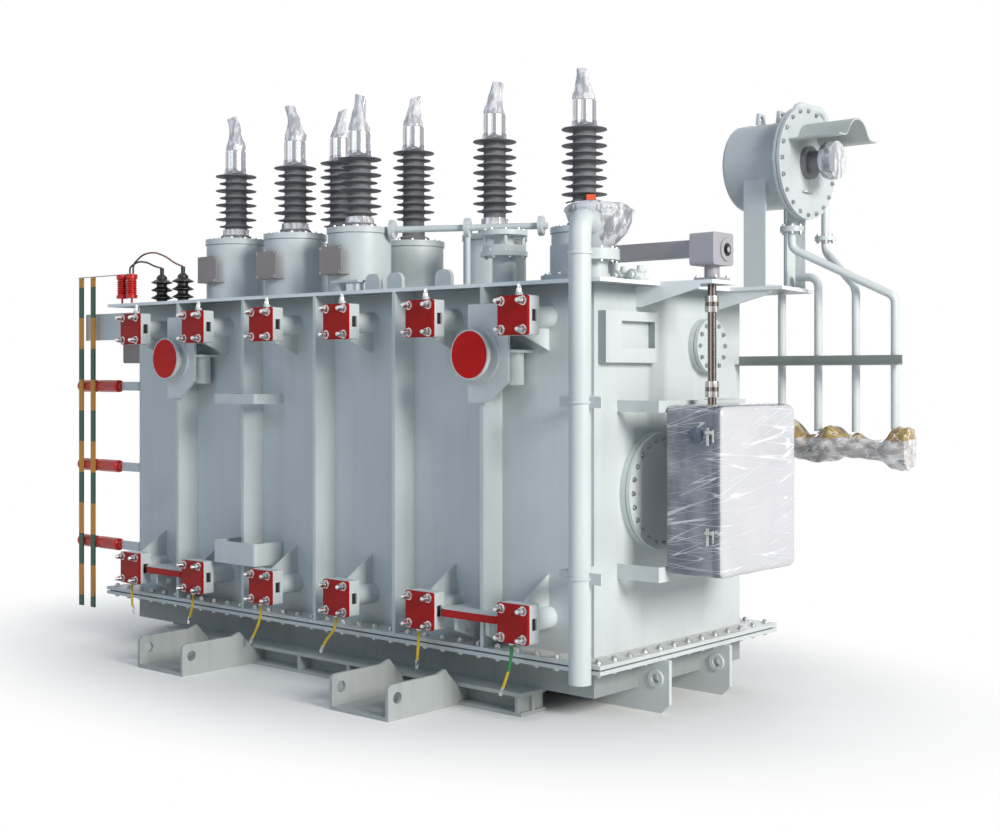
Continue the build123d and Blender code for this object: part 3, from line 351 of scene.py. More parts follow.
def card_film():
    """Film over pipe valves packed in card: silver-grey below, brown card and ochre tape showing on top, with thin
    painted highlights along the film.
    """
    material, tree, shader, place = blank("stretch_film_on_card", 0.22)
    long_way = add(tree, MAPPING, {"Vector": place, "Scale": (0.5, 1, 1)})
    level = add(tree, RANGE, {0: add(tree, PARTS, {0: place}).outputs["Z"], 1: 1.375, 2: 1.425, 3: -0.5, 4: 0.6})
    patch = add(tree, NOISE, {"Vector": place, "Scale": 1000 / 90, "Detail": 3})
    patch = add(tree, RANGE, {0: add(tree, MATH, {0: level, 1: patch}, operation="ADD"), 1: 0.55, 2: 0.75})
    tape = mottle(tree, place, 35, 0.4, 0.6)
    card = add(tree, MIX, {0: tape, 6: rgba("#98714E"), 7: rgba("#A79248")}, data_type="RGBA")
    shade = mottle(tree, long_way, 45, 0.4, 0.62)
    silver = add(tree, MIX, {0: shade, 6: rgba("#DAD6D5"), 7: rgba("#A09B98")}, data_type="RGBA")
    colour = add(tree, MIX, {0: patch, 6: silver, 7: card}, data_type="RGBA")
    # Painted highlight: thin white lines along the film
    wave = add(tree, NOISE, {"Vector": long_way, "Scale": 1000 / 60, "Detail": 4})
    painted_glint = crease(tree, wave, 0.5, 0.02, 0.8)
    crumple = add(tree, NOISE, {"Vector": place, "Scale": 1000 / 25, "Detail": 3})
    feed(shader, {
        "Base Color": add(tree, MIX, {0: painted_glint, 6: colour, 7: rgba("#F7F7F8")}, data_type="RGBA"),
        "Normal": add(tree, BUMP, {"Height": crumple, "Strength": 0.5, "Distance": 3 / 1000}),
        "Coat Weight": 0.6, "Coat Roughness": 0.08})
    return material


def banded(name, first, second, band_mm):
    """Brushed paint in bands of two colours up a bar."""
    material, tree, shader, place = blank(name, 0.42)
    z = add(tree, PARTS, {0: place}).outputs["Z"]
    step = add(tree, MATH, {0: z, 1: band_mm / 1000}, operation="DIVIDE")
    step = add(tree, MATH, {0: step}, operation="FLOOR")
    odd = add(tree, MATH, {0: add(tree, MATH, {0: step, 1: 2.0}, operation="MODULO")}, operation="ABSOLUTE")
    bands = add(tree, MIX, {0: odd, 6: rgba(first), 7: rgba(second)}, data_type="RGBA")
    worn = mottle(tree, place, 30, 0.55, 0.8, 0.0, 0.25)
    tall = add(tree, MAPPING, {"Vector": place, "Scale": (1, 1, 0.2)})
    brush = add(tree, NOISE, {"Vector": tall, "Scale": 1000 / 8, "Detail": 3})
    feed(shader, {
        "Base Color": add(tree, MIX, {0: worn, 6: bands, 7: rgba("#5E5A45")}, data_type="RGBA"),
        "Normal": add(tree, BUMP, {"Height": brush, "Strength": 0.15, "Distance": 0.4 / 1000})})
    return material


def sheathing(name, colour, far_colour, change, axis):
    """Extruded cable sheath that changes colour at one plane."""
    material, tree, shader, place = blank(name, 0.42)
    value = add(tree, PARTS, {0: place}).outputs[axis]
    side = add(tree, MATH, {0: value, 1: change}, operation="GREATER_THAN")
    sheath = add(tree, MIX, {0: side, 6: rgba(colour), 7: rgba(far_colour)}, data_type="RGBA")
    blotches = mottle(tree, place, 20, 0.4, 0.8, 0.0, 0.25)
    feed(shader, {"Base Color": add(tree, MIX, {0: blotches, 6: sheath, 7: rgba("#4A4636")}, data_type="RGBA")})
    return material


class TransformerColours(bpy.types.PropertyGroup):
    """Colours that a user would change."""
    tank: bpy.props.StringProperty(
        name="Tank paint", description="Colour of the tank enamel", default="#CFD5D6")
    tank_shade: bpy.props.StringProperty(
        name="Tank grime", description="Colour of grime on the tank", default="#B4BBBC")
    warning: bpy.props.StringProperty(
        name="Red paint", description="Colour of the keeper discs", default="#C20B09")
    plate: bpy.props.StringProperty(
        name="Plate red", description="Colour of the blanking plates", default="#A60A09")
    bar_first: bpy.props.StringProperty(
        name="Bar green", description="First band of the earthing bars", default="#0F4A33")
    bar_second: bpy.props.StringProperty(
        name="Bar yellow", description="Second band of the earthing bars", default="#C8861C")
    lead: bpy.props.StringProperty(
        name="Lead yellow", description="Sheath of the earth leads", default="#D9B920")


class TransformerFasteners(bpy.types.PropertyGroup):
    """Sizes of bolts and nuts."""
    flange_pitch: bpy.props.FloatProperty(
        name="Flange pitch", description="Spacing of the flange bolts", default=0.13, unit="LENGTH")
    flange_bolt: bpy.props.FloatProperty(
        name="Flange bolt", description="Width of a flange bolt head", default=0.027, unit="LENGTH")
    valve_nut: bpy.props.FloatProperty(
        name="Valve nut", description="Width of a cap nut on a blanking plate", default=0.036, unit="LENGTH")
    lid_bolt: bpy.props.FloatProperty(
        name="Lid bolt", description="Width of a bolt head on a lid", default=0.016, unit="LENGTH")


def centre(node):
    """The middle of a node's box."""
    return [(low + high) / 2 for low, high in zip(*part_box(node))]


def turns(count):
    """Equal steps of angle round a circle."""
    return [2 * math.pi * k / count for k in range(count)]


def put(name, mesh, material=None):
    """Adds a finished mesh as a piece on the body."""
    piece = bpy.data.objects.new(name, mesh)
    bpy.context.scene.collection.objects.link(piece)
    if material is not None:
        mesh.materials.clear()
        mesh.materials.append(material)
    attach(piece, "root")
    return piece


def mesh_of(builder, name):
    """A mesh made by a function that fills a bmesh."""
    work = bmesh.new()
    builder(work)
    bmesh.ops.recalc_face_normals(work, faces=work.faces)
    mesh = bpy.data.meshes.new(name)
    work.to_mesh(mesh)
    work.free()
    return mesh


def bridge(work, loops):
    """Joins rings of points into a skin and closes its two ends."""
    for low, high in zip(loops, loops[1:]):
        for k in range(len(low)):
            n = (k + 1) % len(low)
            work.faces.new((low[k], low[n], high[n], high[k]))
    work.faces.new(loops[0])
    work.faces.new(loops[-1])


def spun(work, place, profile, count, reach=None):
    """A turned form about the local Z of a place, from radius and level, with a reach added round it."""
    loops = []
    for radius, level in profile:
        loop = []
        for turn in turns(count):
            out = radius + (reach(turn, radius, level) if reach else 0.0)
            loop.append(work.verts.new(place @ Vector((out * math.cos(turn), out * math.sin(turn), level))))
        loops.append(loop)
    bridge(work, loops)


def solid_box(work, low, high, edge=0.002):
    """A box between two corners with small bevelled edges."""
    made = bmesh.ops.create_cube(work, size=1.0)["verts"]
    for vertex in made:
        vertex.co = Vector([(a + b) / 2 + c * (b - a) for a, b, c in zip(low, high, vertex.co)])
    edges = list({e for v in made for e in v.link_edges})
    bmesh.ops.bevel(work, geom=edges, offset=edge, segments=1, affect="EDGES")


def at(x, y, z, axis="Z"):
    """A place whose local Z points along an axis."""
    turn = {"Z": (0, 0, 0), "X": (0, math.pi / 2, 0), "-Y": (math.pi / 2, 0, 0)}[axis]
    return Matrix.Translation((x, y, z)) @ Euler(turn).to_matrix().to_4x4()


def sleeve(work, base, tall, lean, bulge, seed):
    """A pleated film sleeve that narrows from a round cap to a flat tip which leans over."""
    # Share of the height, half width and half depth
    steps = ((0, 0.069, 0.069), (0.10, 0.070, 0.066), (0.22, 0.064, 0.056),
             (0.36, 0.054, 0.044), (0.50, 0.047, 0.033), (0.62, 0.041, 0.026),
             (0.75, 0.038, 0.020), (0.88, 0.037, 0.016), (1.0, 0.036, 0.013))
    loops = []
    for share, wide, deep in steps:
        turn = 0.5 * share + 0.3 * math.sin(seed)
        middle = base + Vector((lean * share ** 1.6 + bulge * math.sin(math.pi * share), 0.0, tall * share))
        crush = 0.03 + 0.22 * math.sin(math.pi * min(1.0, share * 1.1))
        loop = []
        for angle in turns(30):
            pleat = math.sin(6 * angle + 5 * share + seed) * 0.5
            dent = noise.noise(Vector((2.2 * math.cos(angle), 2.2 * math.sin(angle), 3.1 * share + seed)))
            swell = 1 + crush * (0.5 * pleat + dent)
            a, b = wide * math.cos(angle) * swell, deep * math.sin(angle) * swell
            rise = 0.010 * math.cos(angle + seed) * share
            across, along = a * math.cos(turn) - b * math.sin(turn), a * math.sin(turn) + b * math.cos(turn)
            loop.append(work.verts.new(middle + Vector((across, along, rise))))
        loops.append(loop)
    bridge(work, loops)


def collar_film(work, x, y, z, tall, seed):
    """Film bunched round the foot of a bushing."""
    def ruffle(turn, radius, level):
        crush = noise.noise(Vector((3 * math.cos(turn), 3 * math.sin(turn), 30 * level + seed)))
        return 0.007 * crush + 0.003 * math.sin(11 * turn)
    profile = [(0.060, 0.0), (0.116, 0.0), (0.106, 0.012), (0.092, 0.030),
               (0.086, 0.5 * tall), (0.083, tall - 0.006), (0.072, tall)]
    spun(work, at(x, y, z), profile, 44, ruffle)


def rounded(name, builder, material):
    """A piece from a builder, shaded smooth but for its sharp edges."""
    mesh = mesh_of(builder, name)
    for face in mesh.polygons:
        face.use_smooth = True
    mesh.set_sharp_from_angle(angle=0.7)
    return put(name, mesh, MATERIALS[material])


def fastener_tree(name, material, domed):
    """A node tree that puts a washer, a hexagon head and a stud or dome at each point, facing its way."""
    tree = bpy.data.node_groups.new(name, "GeometryNodeTree")
    face = tree.interface
    face.new_socket("Geometry", in_out="INPUT", socket_type="NodeSocketGeometry")
    face.new_socket("Width", in_out="INPUT", socket_type="NodeSocketFloat")
    face.new_socket("Geometry", in_out="OUTPUT", socket_type="NodeSocketGeometry")
    source = add(tree, "NodeGroupInput")
    width = source.outputs["Width"]

    def scaled(share):
        return add(tree, MATH, {0: width, 1: share}, operation="MULTIPLY")

    def lifted(geometry, share):
        shift = add(tree, JOINED, {"Z": scaled(share)})
        return add(tree, "GeometryNodeTransform", {"Geometry": geometry, "Translation": shift}).outputs[0]

    def disc(sides, radius, depth, rise):
        links = {"Vertices": sides, "Radius": scaled(radius), "Depth": scaled(depth)}
        return lifted(add(tree, "GeometryNodeMeshCylinder", links).outputs["Mesh"], rise)

    # Sides, then radius, depth and rise as shares of the width
    parts = [disc(16, 0.68 if domed else 0.80, 0.12, 0.06), disc(6, 0.577, 0.55, 0.39)]
    if domed:
        links = {"Vertices": 12, "Radius Top": scaled(0.36), "Radius Bottom": scaled(0.48), "Depth": scaled(0.7)}
        parts.append(lifted(add(tree, "GeometryNodeMeshCone", links).outputs["Mesh"], 0.66))
        links = {"Segments": 12, "Rings": 6, "Radius": scaled(0.36)}
        parts.append(lifted(add(tree, "GeometryNodeMeshUVSphere", links).outputs["Mesh"], 1.33))
    else:
        parts.append(disc(10, 0.28, 0.16, 0.72))
    join = add(tree, "GeometryNodeJoinGeometry")
    for part in parts:
        tree.links.new(part, join.inputs[0])
    way = add(tree, "GeometryNodeInputNamedAttribute", {"Name": "facing"}, data_type="FLOAT_VECTOR")
    turn = add(tree, "FunctionNodeAlignRotationToVector", {"Vector": way.outputs["Attribute"]}, axis="Z")
    links = {"Points": source.outputs["Geometry"], "Instance": join.outputs[0], "Rotation": turn.outputs[0]}
    spread = add(tree, "GeometryNodeInstanceOnPoints", links)
    real = add(tree, "GeometryNodeRealizeInstances", {"Geometry": spread.outputs[0]})
    done = add(tree, "GeometryNodeSetMaterial", {"Geometry": real.outputs[0], "Material": material})
    add(tree, "NodeGroupOutput", {"Geometry": done.outputs[0]})
    return tree


def fasten(name, tree, width, spots):
    """Runs a fastener tree on points with facings and keeps the plain mesh."""
    mesh = bpy.data.meshes.new(name)
    mesh.from_pydata([spot for spot, way in spots], [], [])
    ways = mesh.attributes.new("facing", "FLOAT_VECTOR", "POINT")
    for item, (spot, way) in zip(ways.data, spots):
        item.vector = way
    holder = bpy.data.objects.new(name + "_points", mesh)
    bpy.context.scene.collection.objects.link(holder)
    modifier = holder.modifiers.new("Fasteners", "NODES")
    modifier.node_group = tree
    key = next(i.identifier for i in tree.interface.items_tree if i.name == "Width")
    modifier[key] = width
    graph = bpy.context.evaluated_depsgraph_get()
    plain = bpy.data.meshes.new_from_object(holder.evaluated_get(graph))
    bpy.data.objects.remove(holder)
    plain.name = name
    return put(name, plain, None)


def wrapped(name, node, material, voxel, size, depth, soften, tilt):
    """A film skin over a node: its solid remeshed finely and pushed out into folds that run along a tilted line."""
    work = bmesh.new()
    work.from_mesh(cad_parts[node].data)
    bmesh.ops.remove_doubles(work, verts=work.verts, dist=1e-6)
    solid = bpy.data.meshes.new(name + "_solid")
    work.to_mesh(solid)
    work.free()
    holder = bpy.data.objects.new(name + "_solid", solid)
    bpy.context.scene.collection.objects.link(holder)
    remesh = holder.modifiers.new("Skin", "REMESH")
    remesh.mode = "VOXEL"
    remesh.voxel_size = voxel
    ease = holder.modifiers.new("Ease", "SMOOTH")
    ease.iterations = soften
    graph = bpy.context.evaluated_depsgraph_get()
    mesh = bpy.data.meshes.new_from_object(holder.evaluated_get(graph))
    bpy.data.objects.remove(holder)
    mesh.name = name
    lean, rise = math.cos(tilt), math.sin(tilt)
    moves = []
    for vertex in mesh.vertices:
        x, y, z = vertex.co
        spot = Vector((x, y * lean + z * rise, (z * lean - y * rise) * 0.3)) / size
        fold = noise.ridged_multi_fractal(spot, 0.8, 2.2, 4, 1.0, 2.0)
        crush = noise.noise(Vector((x, y, z)) / (size * 0.5))
        moves.append(vertex.co + vertex.normal * depth * (0.45 * (fold - 1.0) + 0.5 * crush))
    for vertex, move in zip(mesh.vertices, moves):
        vertex.co = move
    for face in mesh.polygons:
        face.use_smooth = True
    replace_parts(put(name, mesh, material), node)


def ring_spots(middle, radius, count, axis, start=0.0):
    """Points on a ring with its axis along X or Z, all facing along it."""
    spots = []
    for turn in turns(count):
        a, b = radius * math.cos(start + turn), radius * math.sin(start + turn)
        offset, way = {"X": ((0, a, b), Vector((1, 0, 0))), "Z": ((a, b, 0), Vector((0, 0, 1)))}[axis[1]]
        spots.append((Vector(middle) + Vector(offset), way if axis[0] == "+" else -way))
    return spots


def bolted_pair(x, y, top, foot, radius, count, foot_start=0.0):
    """Bolts on both faces of a pair of flanges."""
    return (ring_spots((x, y, top), radius, count, "+Z")
            + ring_spots((x, y, foot), radius, count, "-Z", foot_start))


MATERIALS = {}

# The nodes that wear each finish; the rest wear plain tank enamel
WEAR = {
    "base": ("base_beams", "haulage_channels", "centre_cross_beam"), "lower": ("lower_tank",),
    "bell": ("bell_tank",), "flange": ("tank_flanges",), "gasket": ("flange_gasket",),
    "cover": ("tank_cover", "cover_shelves"), "trunnion": ("trunnions",), "pad": ("jacking_pads",),
    "red": ("blanking_plates",), "brown": ("phase_plates", "junction_box"), "plate_frame": ("rating_frame",),
    "gearbox": ("bevel_gearbox",), "drive": ("drive_shaft_cover",), "shaft": ("drive_shaft",),
    "cabinet": ("motor_cabinet",), "relief": ("relief_valve",), "film": ("terminal_wraps",),
    "gauge": ("oil_gauge",), "hood": ("gauge_hood",), "drum": ("conservator_flanges", "conservator_drum"),
    "stained_film": ("pipe_valves",), "support": ("pipe_support",), "cap": ("bushing_caps",),
    "sheds": ("insulators",), "resin_red": ("bar_insulators", "post_insulators"),
    "resin_black": ("earthing_bushings",), "bars": ("earthing_bars",), "lead_wire": ("bushing_leads",),
}


class TRANSFORMER_OT_finishes(bpy.types.Operator):
    """Makes the materials and gives each node of the frame its finish"""
    bl_idname = "transformer.finishes"
    bl_label = "Finishes"

    def execute(self, context):
        c = context.scene.transformer_colours
        m = MATERIALS
        m["tank"] = enamel("light_grey_enamel", c.tank, c.tank_shade)
        for key, kind, colour, mask in (
                ("flange", "dusty", "#CDC6BE", dusty_top), ("trunnion", "red_face", c.warning, keeper_face),
                # On the next line the cover's upright edges get a paler colour: a painted highlight
                ("pad", "red_edge", "#B4181A", pad_edge), ("cover", "cover", "#EDF3F5", upright),
                # Painted shade: a darker strip of wall under the cover, and darker sides of the rating frame
                ("bell", "wall", "#7F8B8F", painted_shade_under_cover), ("plate_frame", "frame", "#969FA2", painted_frame_shade)):
            m[key] = masked(enamel("light_grey_enamel_" + kind, c.tank, c.tank_shade), colour, mask)
        # Painted shade on the underside of the cover
        masked(m["cover"], "#7F8A8D", painted_underside_shade)
        m["red"] = enamel("red_enamel", c.plate, "#7C0B0D", 0.34, 0.3)
        # The base beams are painted a darker grey than the tank
        m["base"] = enamel("grey_enamel_darker_base", "#AEB3B2", "#8E9291", 0.55, 1.0)
        for key in ("red", "trunnion", "pad"):
            feed(m[key].node_tree.nodes["Principled BSDF"], {"Specular IOR Level": 0.2})
        m["brown"] = enamel("brown_grey_enamel", "#968D8C", "#847B7A", 0.45)
        m["drive"] = enamel("brown_grey_drive_enamel", "#ABA9AF", "#95929A", 0.45)
        m["gearbox"] = enamel("brown_grey_gearbox_enamel", "#ABA9AF", "#95929A", 0.45)
        masked(m["gearbox"], "#1B1718", gear_ring)
        # Painted reflection: light and dark streaks on the shaft, couplings, caps and necks
        m["shaft"] = painted_reflection_metal("oiled_steel_shaft", "#B9B2AC", "#3D302A", 0.25)
        m["coupling"] = painted_reflection_metal("bright_steel_couplings", "#F4F4F4", "#8E8A87", 0.22)
        m["relief"] = enamel("grey_enamel_relief_valve", "#BFC4C8", "#A6ABAF", 0.3)
        m["drum"] = enamel("light_grey_enamel_drum", "#C4CACD", "#B2B8BB", 0.3)
        m["support"] = enamel("green_grey_enamel_angle", "#8A9391", "#757E7C", 0.45)
        m["hood"] = enamel("green_grey_enamel_hood", "#B4BBB9", "#9CA3A1", 0.42)
        # The lower tank is painted a darker grey than the tank: painted shade under the flange
        m["lower"] = enamel("grey_enamel_painted_shade", "#969C9C", "#7C8282", 0.5, 1.0)
        m["gauge"] = masked(enamel("dark_grey_gauge_case", "#77797B", "#5C5E60", 0.35), "#B9B6B4", gauge_face)
        m["cabinet"] = cabinet_film()
        m["film"] = film("stretch_film", "#E0DEE0", "#B2AFB5", 26, 4)
        m["bag"] = film("stretch_film_bag", "#CFD0D4", "#8C8E96", 40, 6)
        m["stained_film"] = card_film()
        m["cap"] = painted_reflection_metal("turned_aluminium_caps", "#F4F5F7", "#A3A5AA", 0.22)
        m["neck"] = painted_reflection_metal("turned_aluminium_necks", "#C6C8CC", "#7E8085", 0.35)
        m["sheds"] = shed_rubber()
        m["gasket"] = moulded("black_gasket_rubber", "#101111", "#1C1D1D", 0.7)
        m["resin_red"] = moulded("red_cast_resin", "#D21A18", "#B01614", 0.3)
        m["resin_black"] = moulded("black_cast_resin", "#121213", "#222222", 0.38)
        m["zinc"] = plated("zinc_plated_steel", "#C9CBCB", 0.34)
        m["bright"] = plated("bright_cap_nuts", "#E6E6E6", 0.24)
        m["bars"] = banded("green_and_yellow_bar_paint", c.bar_first, c.bar_second, 215)
        m["lead"] = sheathing("yellow_earth_sheath", c.lead, c.lead, 0.0, 2)
        m["green_lead"] = sheathing("green_and_yellow_earth_sheath", c.lead, "#1F8A46", 0.245, 2)
        m["lead_wire"] = sheathing("black_sleeve_and_brown_lead", "#0F0F10", "#7C5A45", -1.84, 0)
        # Painted shade: a near-black colour for the sheets in the valve windows
        m["dark"] = moulded("painted_recess_shade", "#1A1716", "#241F1D", 0.8)
        m["plug"] = moulded("blue_grey_plug", "#5F6878", "#4C5462", 0.4)
        m["tag"] = moulded("orange_tape", "#E8501A", "#D84412", 0.55)
        worn = {node: key for key, nodes in WEAR.items() for node in nodes}
        for name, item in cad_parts.items():
            item.data.materials.clear()
            item.data.materials.append(m[worn.get(name, "tank")])
        return {"FINISHED"}


class TRANSFORMER_OT_earth_leads(bpy.types.Operator):
    """Hangs the six short earth leads from the lower valves"""
    bl_idname = "transformer.earth_leads"
    bl_label = "Earth leads"

    def execute(self, context):
        drops = (0.175, 0.175, 0.230, 0.205, 0.193, 0.255)
        drifts = (0.020, -0.036, -0.083, -0.109, -0.010, -0.060)
        z = VALVE_Z[0] - PLATE_SIDE / 2
        for i, x in enumerate(VALVE_X):
            half = 0.70 if i == 3 else 0.5
            shares = ((0, 0, 0), (0.20, 0, 0), (0.47, 0.12, -0.004), (0.75, half, -0.007), (1, 1, -0.006))
            route = [(x - LEAD_OFFSET + drifts[i] * b, c - VALVE_Y, z - drops[i] * a) for a, b, c in shares]
            material = MATERIALS["green_lead"] if i == 5 else MATERIALS["lead"]
            lead = self.curve(f"earth_lead_cord_{i + 1}", route, material)
            lug = put(f"earth_lead_lug_{i + 1}", mesh_of(lambda b: self.lug(b, route), f"lug_{i + 1}"),
                      MATERIALS["bright"])
            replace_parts(lead, f"earth_lead_{i + 1}")
        return {"FINISHED"}

    def curve(self, name, route, material):
        """One lead as a round curve along its route."""
        data = bpy.data.curves.new(name, "CURVE")
        data.dimensions = "3D"
        spline = data.splines.new("NURBS")
        spline.points.add(len(route) - 1)
        for point, spot in zip(spline.points, route):
            point.co = (*spot, 1.0)
        spline.order_u = 3
        spline.use_endpoint_u = True
        data.bevel_depth = 0.008
        data.bevel_resolution = 3
        data.use_fill_caps = True
        data.materials.append(material)
        lead = bpy.data.objects.new(name, data)
        bpy.context.scene.collection.objects.link(lead)
        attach(lead, "root")
        return lead

    def lug(self, work, route):
        """A crimped lug flattened past the end of a lead."""
        end, before = Vector(route[-1]), Vector(route[-2])
        way = (end - before).normalized()
        side = way.cross(Vector((0, 1, 0))).normalized()
        depth = way.cross(side).normalized()
        rings = ((-0.016, 0.0095, 0.0095), (0.002, 0.0095, 0.0095), (0.010, 0.012, 0.003),
                 (0.026, 0.012, 0.003), (0.034, 0.006, 0.003))
        bridge(work, [[work.verts.new(end + way * along + side * wide * math.cos(turn) + depth * thick * math.sin(turn))
                       for turn in turns(12)] for along, wide, thick in rings])


class TRANSFORMER_OT_fasteners(bpy.types.Operator):
    """Sets the bolts, nuts and screws of flanges, plates, lids, covers, valves and leads"""
    bl_idname = "transformer.fasteners"
    bl_label = "Fasteners"

    def execute(self, context):
        sizes = context.scene.transformer_fasteners
        hexagon = fastener_tree("Hexagon bolt", MATERIALS["zinc"], False)
        capped = fastener_tree("Cap nut", MATERIALS["bright"], True)
        fasten("flange_bolts", hexagon, sizes.flange_bolt, self.flange(sizes.flange_pitch))
        fasten("plate_cap_nuts", capped, sizes.valve_nut, self.plates())
        fasten("lid_bolts", hexagon, sizes.lid_bolt, self.lids())
        fasten("end_cover_bolts", hexagon, sizes.lid_bolt * 1.1, self.covers())
        fasten("valve_stem_nuts", capped, sizes.flange_bolt, self.stems())
        fasten("pipe_flange_bolts", hexagon, sizes.lid_bolt, self.flanges())
        fasten("earth_lead_nuts", hexagon, sizes.flange_bolt, self.lead_nuts())
        fasten("small_screws", hexagon, sizes.lid_bolt * 0.6, self.screws())
        return {"FINISHED"}

    def flange(self, pitch):
        """Bolts round both faces of the tank flanges."""
        spots = []
        along, across = FLANGE_HIGH[0] - 0.05, FLANGE_HIGH[1] - 0.05
        for level, up in ((FLANGE_HIGH[2], 1), (FLANGE_LOW[2], -1)):
            count = round(2 * along / pitch)
            for i in range(count + 1):
                x = -along + 2 * along * i / count
                spots += [((x, side * across, level), (0, 0, up)) for side in (-1, 1)]
            count = round(2 * across / pitch)
            for i in range(1, count):
                y = -across + 2 * across * i / count
                spots += [((side * along, y, level), (0, 0, up)) for side in (-1, 1)]
        return spots

    def plates(self):
        """Cap nuts at the corners of the blanking plates."""
        inset = PLATE_SIDE / 2 - 0.028
        spots = []
        for side, y in ((-1, PLATE_LOW[1]), (1, PLATE_HIGH[1])):
            for x in VALVE_X:
                for z in VALVE_Z:
                    for a in (-inset, inset):
                        spots += [((x + a, y, z + b), (0, side, 0)) for b in (-inset, inset)]
        return spots

    def lids(self):
        """Bolts on the turrets and on the oil valve."""
        spots = []
        for row, top in ((FRONT_ROW, FRONT_TOP), (REAR_ROW, REAR_TOP)):
            for x, y in row:
                spots += ring_spots((x, y, top), 0.168, 12, "+Z", 0.2)
        return spots + ring_spots((*centre("oil_valve")[:2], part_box("oil_valve")[1][2]), 0.105, 8, "+Z")

    def stems(self):
        """Nuts on the stems of the upper radiator valves."""
        level = VALVE_Z[1] + PLATE_SIDE / 2 + 0.018
        return [((x, side * VALVE_Y, level), (0, 0, 1)) for x in VALVE_X for side in (-1, 1)]

    def lead_nuts(self):
        """Nuts where the earth leads leave their valves."""
        return [((x - LEAD_OFFSET, -VALVE_Y, VALVE_Z[0] - PLATE_SIDE / 2), (0, 0, -1)) for x in VALVE_X]

    def flanges(self):
        """Bolts of the relief neck, pipes, oil valve, tap changer head and gearbox foot."""
        neck, top = centre("relief_neck")[:2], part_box("relief_neck")[1][2]
        spots = bolted_pair(*neck, top, top - 0.056, 0.106, 10)
        for turn in turns(8):
            out = Vector((math.cos(turn - 0.45), math.sin(turn - 0.45), -0.432))
            spots.append((Vector((*neck, top + 0.110)) + Vector((out.x, out.y, 0)) * 0.122, out.normalized()))
        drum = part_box("conservator_drum")[0][2]
        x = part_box("conservator_flanges")[0][0]
        spots += bolted_pair(x - 0.060, DRUM_Y, drum + 0.030, drum, 0.052, 6)
        spots += bolted_pair(x - 0.045, 0.910, 2.536, 2.510, 0.047, 6)
        spots += bolted_pair(*centre("oil_valve")[:2], 2.432, 2.405, 0.114, 8, 0.2)
        spots += ring_spots((HEAD_X, DRIVE_Y, COVER_TOP + 0.060), 0.205, 16, "+Z")
        corners = [(a, b) for a in (-0.055, 0.055) for b in (-0.055, 0.055)]
        return spots + [((SHAFT_X + a, DRIVE_Y + b, COVER_TOP + 0.014), (0, 0, 1)) for a, b in corners]

    def screws(self):
        """Screws at the corners of the phase plates."""
        low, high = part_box("phase_plates")
        spots = []
        for x, y in FRONT_ROW:
            for a in (-0.085, 0.085):
                spots += [((x + a, low[1], z), (0, -1, 0)) for z in (low[2] + 0.012, high[2] - 0.012)]
        return spots

    def covers(self):
        """Bolts of the end wall's covers and of the conservator's flanges."""
        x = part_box("wall_covers")[1][0]
        spots = ring_spots((x, 0.306, 1.911), 0.125, 12, "+X") + ring_spots((x, -0.166, 1.140), 0.275, 24, "+X")
        low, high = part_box("conservator_flanges")
        middle = centre("conservator_flanges")[1:]
        spots += ring_spots((high[0], *middle), 0.283, 20, "+X")
        return spots + ring_spots((low[0], *middle), 0.283, 20, "-X")


